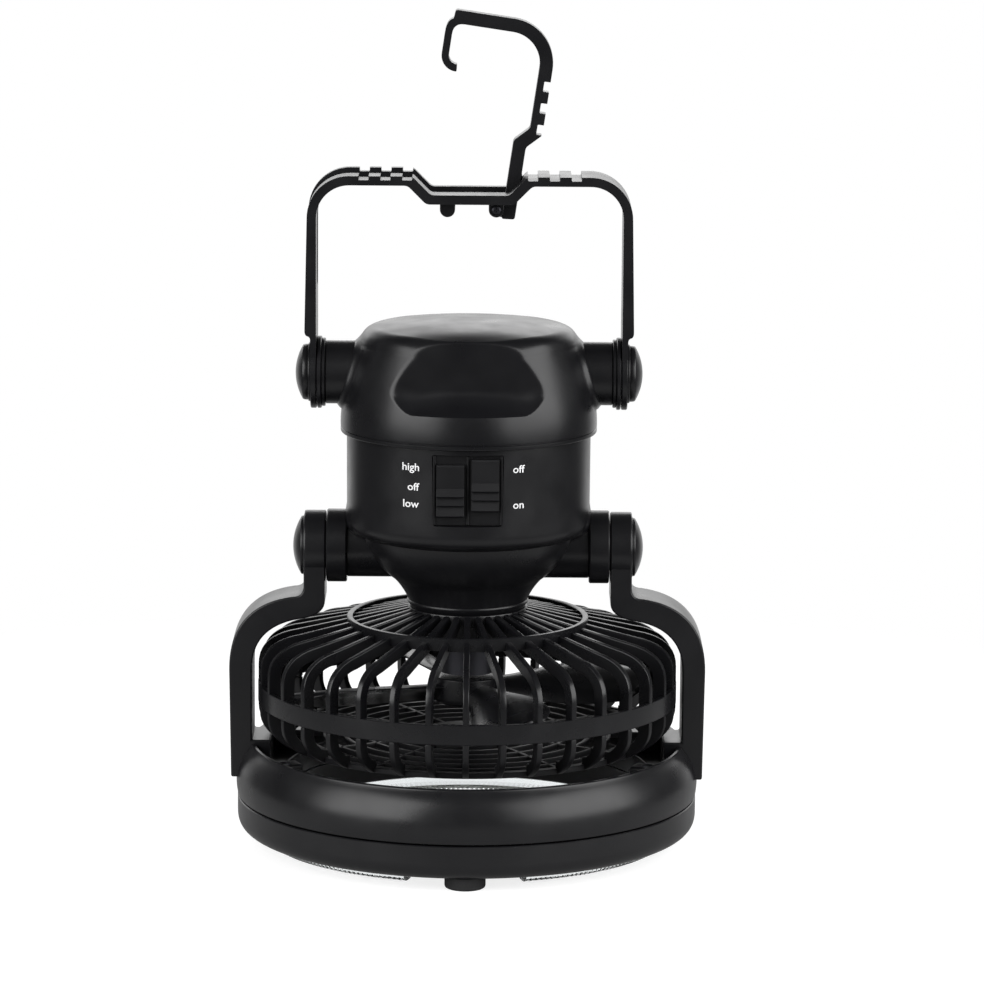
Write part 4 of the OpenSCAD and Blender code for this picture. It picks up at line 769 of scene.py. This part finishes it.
def rotor():
    """The fan wheel: a domed hub and four twisted, cambered blades."""
    middle, root, tip, blades = 55.4, 11.0, 66.4, 4
    stations, across = 18, 10
    narrow, wide, camber_h = 6.5, 13.0, 2.2
    blade = bmesh.new()
    rings = []
    for i in range(stations + 1):
        t = i / stations
        r = root + (tip - root) * t
        # The blade widens outwards, and its tip is rounded off over the last fifth
        half = narrow + (wide - narrow) * ease(t / 0.7)
        half *= 1 - 0.6 * max(0.0, (t - 0.8) / 0.2) ** 2.2
        pitch = radians(30 - 10 * t)
        sweep = -1.5 * t
        upper, lower = [], []
        for k in range(across + 1):
            s = 2 * k / across - 1
            camber = camber_h * (1 - s * s)
            thick = 0.25 + 0.65 * (1 - s * s) ** 0.5
            y, z = half * s, camber
            for group, dz in ((upper, thick), (lower, -thick)):
                yy = y * cos(pitch) - (z + dz) * sin(pitch) + sweep
                zz = y * sin(pitch) + (z + dz) * cos(pitch) - 1.0
                group.append((r * cos(yy / r), r * sin(yy / r), middle + zz))
        rings.append([blade.verts.new(p) for p in upper + lower[::-1]])
    for here, there in zip(rings, rings[1:]):
        for k in range(len(here)):
            n = (k + 1) % len(here)
            blade.faces.new((here[k], here[n], there[n], there[k]))
    blade.faces.new(rings[0])
    blade.faces.new(rings[-1])
    tidy(blade)
    hub = [(1.05, 50.4)] + curve((9.0, 50.4), (12.0, 50.4), (12.0, 53.0), 5)
    hub += [(12.0, 60.0), (11.6, 60.4), (1.05, 60.4)]
    bm = joined(around(blade, blades, cage_plastic, 20), revolve(hub, 72))
    piece("fan_wheel", bm, "rotor", cage_plastic, "fan_rotor", crease=55)


# Handle and hook

handle_in, strap_t, disc_t = 54.3, 3.3, 2.1
handle_out = handle_in + strap_t
top_z = swing_z + 71.4
corner_r = 15.0
corner = (handle_out - corner_r, top_z - corner_r)
dip_drop, dip_half = 6.6, 13.8
dip_top = top_z - dip_drop
dip_low = dip_top - strap_t
rail_rise, slot_y, slot_w = 1.1, -0.5, 8.0
thick_z = swing_z + 14.2
notch_w, notch_pitch, notch_depth = 3.6, 7.7, 1.4
slot_end = 18.4
tab_t, tab_r = 3.5, 2.7
fold_turn = 98.4


def strap_outline(rise):
    """The handle's outline in the XZ plane, raised by a little for the rear rail."""
    half = [(0, dip_low), (dip_half + strap_t / 2, dip_low),
            (dip_half + strap_t / 2 + dip_drop, top_z - strap_t)]
    half += arc(corner, corner_r - strap_t, 90, 0, 16)
    half += [(handle_in, thick_z)] if rise else [(handle_in, swing_z), (handle_in + disc_t, swing_z)]
    half += [] if rise else curve((handle_in + disc_t, thick_z - 1.2), (handle_in + disc_t, thick_z),
                                  (handle_out + 0.2, thick_z + 0.2), 4)
    half += [(handle_out + 0.8, thick_z + 1.2)]
    half += arc(corner, corner_r, 0, 90, 16)
    half += [(dip_half + dip_drop, top_z), (dip_half, dip_top), (0, dip_top)]
    raised = [(x, z + rise) for x, z in half]
    return eased(raised[1:-1] + mirrored(raised[1:-1]), 1.3)


def notched(bm, top):
    """Cuts the grip notches into a rail's top."""
    for side in (-1, 1):
        for i in range(3):
            middle = side * (dip_half + dip_drop + i * notch_pitch + notch_w / 2)
            bm = cut(bm, block((middle - notch_w / 2, -20, top - notch_depth),
                               (middle + notch_w / 2, 20, top + 3), 0.3, 2))
    return bm


def handle():
    """The carry handle: a strap with a slot for the hook, a raised rear rail, notches, discs and tabs."""
    bm = notched(slab(strap_outline(0), -strap_y, strap_y), top_z)
    rear = notched(slab(strap_outline(rail_rise), slot_y + slot_w, strap_y), top_z + rail_rise)
    keep = block((-70, 0, corner[1]), (slot_end, 20, top_z + 5))
    bm = cut(bm, cut(rear, keep, "INTERSECT"), "UNION")
    bm = cut(bm, block((-70, slot_y, swing_z + 31.4), (slot_end, slot_y + slot_w, top_z + 5)))
    bmesh.ops.dissolve_limit(bm, angle_limit=radians(0.5), verts=bm.verts, edges=bm.edges)
    rounded_edges(bm, 0.4, 2, 35)
    disc = [(disc_bore, handle_in), (disc_r - 0.3, handle_in), (disc_r, handle_in + 0.3),
            (disc_r, handle_in + disc_t - 0.3), (disc_r - 0.3, handle_in + disc_t),
            (disc_bore, handle_in + disc_t)]
    discs = [on_side(revolve(disc, 96), side, swing_z) for side in (-1, 1)]
    tabs = []
    for x in (-8.0, pin_x):
        outline = [(x + tab_r, dip_low + 0.8), (x - tab_r, dip_low + 0.8)]
        outline += arc((x, pin_z), tab_r, 180, 360, 14)
        tabs += [slab(outline, y, y + tab_t, 0.35) for y in (slot_y - tab_t, slot_y + slot_w)]
    piece("carry_handle", joined(bm, *discs, *tabs), "handle", satin_abs, "handle")


def pin():
    """The hook's blackened pin, with a domed head and a cross recess."""
    head = [(0, -0.8)] + curve((0.9, -0.8), (1.7, -0.75), (1.8, -0.1), 4) + [(1.8, 0), (1.2, 0)]
    outline = [(0, -0.8)] + head[1:] + [(1.2, slot_w + 2 * tab_t), (0, slot_w + 2 * tab_t)]
    bm = revolve(outline, 40)
    for long, wide in ((0.9, 0.22), (0.22, 0.9)):
        bm = cut(bm, block((-long, -wide, -1.5), (long, wide, -0.4)))
    turned = Matrix.Translation((pin_x, slot_y - tab_t, pin_z)) @ Matrix.Rotation(radians(-90), 4, "X")
    piece("hook_pin_headed", moved(bm, turned), "handle", black_oxide, "hook_pin", slot="steel")


def hook():
    """The folding hook, drawn as it lies in the handle's slot and turned up about its pin."""
    thick, tip_t, tip_r, bend_r, out = 4.7, 2.6, 5.7, 15.8, 58.2
    dip, top, low = dip_top + rail_rise, top_z - 0.4, swing_z + 34.0
    run = top - dip
    bend_at, curl_at = (-out + bend_r, top - bend_r), (-42.3, low - tip_t + tip_r)
    outline = [(pin_x + thick * 0.7, dip - thick), (pin_x + thick * 0.6, dip), (-dip_half, dip),
               (-dip_half - run, top)]
    outline += arc(bend_at, bend_r, 90, 180, 18)
    outline += [(-out, low)]
    outline += curve((-out + 3.1, low - 0.2), (-out + 3.9, low - tip_t), (-out + 8.5, low - tip_t), 6)
    outline += arc(curl_at, tip_r, -90, 5, 12) + arc(curl_at, tip_r - tip_t, 5, -90, 10)
    outline += curve((-out + thick + tip_t * 1.5, low), (-out + thick, low),
                     (-out + thick, low + tip_t * 1.5), 6)
    outline += arc(bend_at, bend_r - thick, 180, 90, 16)
    outline += [(-dip_half - run - thick / 2.4, top - thick), (-dip_half - thick / 2.4, dip - thick)]
    half = 3.7
    bm = slab(eased(outline, 0.9), pin_y - half, pin_y + half)
    for i in range(3):
        x = -dip_half - run - notch_w - i * notch_pitch
        bm = cut(bm, block((x, -20, top - 2.2), (x + notch_w, 20, top + 3), 0.3, 2))
    bmesh.ops.dissolve_limit(bm, angle_limit=radians(0.5), verts=bm.verts, edges=bm.edges)
    rounded_edges(bm, 0.4, 2, 35)
    ear = [(pin_x - tab_r, dip - thick / 2), (pin_x + tab_r, dip - thick / 2)]
    ear += arc((pin_x, pin_z), tab_r, 360, 180, 14)
    bm = joined(bm, slab(ear, pin_y - half + 0.06, pin_y + half - 0.06, 0.3))
    about = Matrix.Translation((pin_x, 0, pin_z))
    turned = about @ Matrix.Rotation(radians(fold_turn), 4, "Y") @ about.inverted()
    piece("folding_hook", moved(bm, turned), "hook", satin_abs, "hook")


def dress_nodes():
    """Finishes for the CAD nodes that stay as they are, most of them inside."""
    finishes = {
        satin_abs: ("battery_tray", "motor_mount"), nylon: ("friction_washers", "fan_switch", "light_switch"),
        white_mask: ("lamp_board",), green_mask: ("control_board",), brass_strip: ("contact_strip",),
        cell_film: ("battery_left", "battery_right"),
        zinc_steel: ("arm_screws", "ring_screws", "pivot_bolts", "handle_bolts", "contact_springs",
                     "shell_screws", "cage_screws", "motor_shaft"),
        black_oxide: ("motor",)}
    for finish, names in finishes.items():
        for name in names:
            item = frame["nodes"][name]
            item.data.materials.clear()
            item.data.materials.append(finish)


# Floor, light and camera

def floor():
    """A pale table that keeps the fan's shadow, glows to the eye only and fades into the white around it."""
    full, gone = 0.24, 0.42
    reflected, shown = 0.12, 0.8
    bm = bmesh.new()
    bmesh.ops.create_circle(bm, cap_ends=True, segments=96, radius=gone)
    item = loose(bm)
    item.name = "floor"
    # Board with a flat paint: an even pale grey without a highlight of its own
    material = bpy.data.materials.new("Pale floor")
    material.use_nodes = True
    tree = material.node_tree
    surface = tree.nodes["Principled BSDF"]
    surface.inputs["Roughness"].default_value = 0.9
    surface.inputs["Specular IOR Level"].default_value = 0.1
    surface.inputs["Base Color"].default_value = linear("#9a9a9a")
    surface.inputs["Emission Color"].default_value = (1, 1, 1, 1)
    ray = add(tree, "ShaderNodeLightPath").outputs
    seen = add(tree, "ShaderNodeMath", {"operation": "MAXIMUM"},
               {0: ray["Is Camera Ray"], 1: ray["Is Transmission Ray"]})
    glow = add(tree, "ShaderNodeMapRange", inputs={0: seen.outputs[0], 3: reflected, 4: shown})
    tree.links.new(glow.outputs[0], surface.inputs["Emission Strength"])
    place = add(tree, "ShaderNodeTexCoord").outputs["Object"]
    reach = add(tree, "ShaderNodeVectorMath", {"operation": "LENGTH"}, {0: place})
    fade = add(tree, "ShaderNodeMapRange", {"interpolation_type": "SMOOTHSTEP"},
               {0: reach.outputs["Value"], 1: full, 2: gone})
    clear = add(tree, "ShaderNodeBsdfTransparent")
    blend = add(tree, "ShaderNodeMixShader",
                inputs={0: fade.outputs[0], 1: surface.outputs[0], 2: clear.outputs[0]})
    tree.links.new(blend.outputs[0], tree.nodes["Material Output"].inputs["Surface"])
    item.data.materials.append(material)


def surroundings():
    """A white surround to the eye. What is reflected is white low behind the fan and dark elsewhere."""
    world = bpy.data.worlds.new("Studio")
    bpy.context.scene.world = world
    world.use_nodes = True
    tree = world.node_tree
    back = tree.nodes["Background"]
    dark, others = 0.09, 0.5
    ray = add(tree, "ShaderNodeLightPath").outputs
    way = add(tree, "ShaderNodeSeparateXYZ", inputs={0: add(tree, "ShaderNodeTexCoord").outputs["Generated"]})
    aside = add(tree, "ShaderNodeMath", {"operation": "ABSOLUTE"}, {0: way.outputs["X"]})
    lean = add(tree, "ShaderNodeMath", {"operation": "MULTIPLY_ADD"},
               {0: aside.outputs[0], 1: -0.6, 2: way.outputs["Y"]})
    behind = add(tree, "ShaderNodeMapRange", {"interpolation_type": "SMOOTHSTEP"},
                 {0: lean.outputs[0], 1: 0.2, 2: 0.6})
    under = add(tree, "ShaderNodeMapRange", {"interpolation_type": "SMOOTHSTEP"},
                {0: way.outputs["Z"], 1: 0.34, 2: 0.5, 3: 1.0, 4: 0.0})
    share = add(tree, "ShaderNodeMath", {"operation": "MULTIPLY"},
                {0: behind.outputs[0], 1: under.outputs[0]})
    shine = add(tree, "ShaderNodeMapRange", inputs={0: share.outputs[0], 3: dark, 4: 1.0})
    plain = add(tree, "ShaderNodeMix", inputs={0: ray["Is Glossy Ray"], 2: others, 3: shine.outputs[0]})
    seen = add(tree, "ShaderNodeMath", {"operation": "MAXIMUM"},
               {0: ray["Is Camera Ray"], 1: ray["Is Transmission Ray"]})
    strength = add(tree, "ShaderNodeMix", inputs={0: seen.outputs[0], 2: plain.outputs[0], 3: 1.0})
    tree.links.new(strength.outputs[0], back.inputs["Strength"])
    back.inputs["Color"].default_value = (1, 1, 1, 1)


def soft_light(name, place, width, height, power):
    """A soft box that faces the middle of the fan."""
    lamp = bpy.data.lights.new(name, "AREA")
    lamp.shape, lamp.size, lamp.size_y, lamp.energy = "RECTANGLE", width, height, power
    item = bpy.data.objects.new(name, lamp)
    item.location = place
    middle = Vector((0, 0, 0.13))
    item.rotation_euler = (middle - Vector(place)).to_track_quat("-Z", "Y").to_euler()
    item.visible_camera = False
    bpy.context.collection.objects.link(item)


def camera():
    """The camera at the photograph's place, fitted to the ring, the cage and the body's seams."""
    lens_data = bpy.data.cameras.new("camera")
    lens_data.sensor_width = 36.0
    focal, across = 4817.3, 984  # both in the photograph's pixels
    lens_data.lens = focal / across * lens_data.sensor_width
    item = bpy.data.objects.new("camera", lens_data)
    pitch, roll = 0.17709, 0.00698
    item.matrix_world = (Matrix.Translation((0.00846, -1.7, 0.43155))
                         @ Matrix.Rotation(pi / 2 - pitch, 4, "X") @ Matrix.Rotation(roll, 4, "Z"))
    bpy.context.collection.objects.link(item)
    bpy.context.scene.camera = item


camera()
ring_upper()
ring_lower()
lens()
lamp_row()
feet()
for side, word in ((-1, "left"), (1, "right")):
    arm(side, "arm_" + word)
    dome(side, "pivot_cap_" + word, "stand", hub_out - 0.5, tilt_z, 10.5, 1.7, 4.6, 0.4)
    lower_collar(side, "collar_" + word)
    upper_collar(side, "handle_collar_" + word)
    dome(side, "handle_cap_" + word, "handle", handle_in + disc_t, swing_z, 10.0, 2.8, 5.5, 0.5)
neck()
lower_body()
switch_well()
knob(-knob_x, 135.1, "fan_switch_knob", "fan_switch")
knob(knob_x, 137.1, "light_switch_knob", "light_switch")
legends()
upper_body()
rear_basket()
front_basket()
rotor()
handle()
pin()
hook()
dress_nodes()
floor()
surroundings()
soft_light("soft box left", (-0.92, -0.76, 0.6), 1.15, 1.05, 18.0)
soft_light("soft box right", (1.03, -0.59, 0.6), 1.5, 1.05, 22.0)
soft_light("soft box behind", (0.0, 1.5, 0.62), 2.6, 0.5, 5.0)
bpy.context.scene.view_settings.view_transform = "Standard"
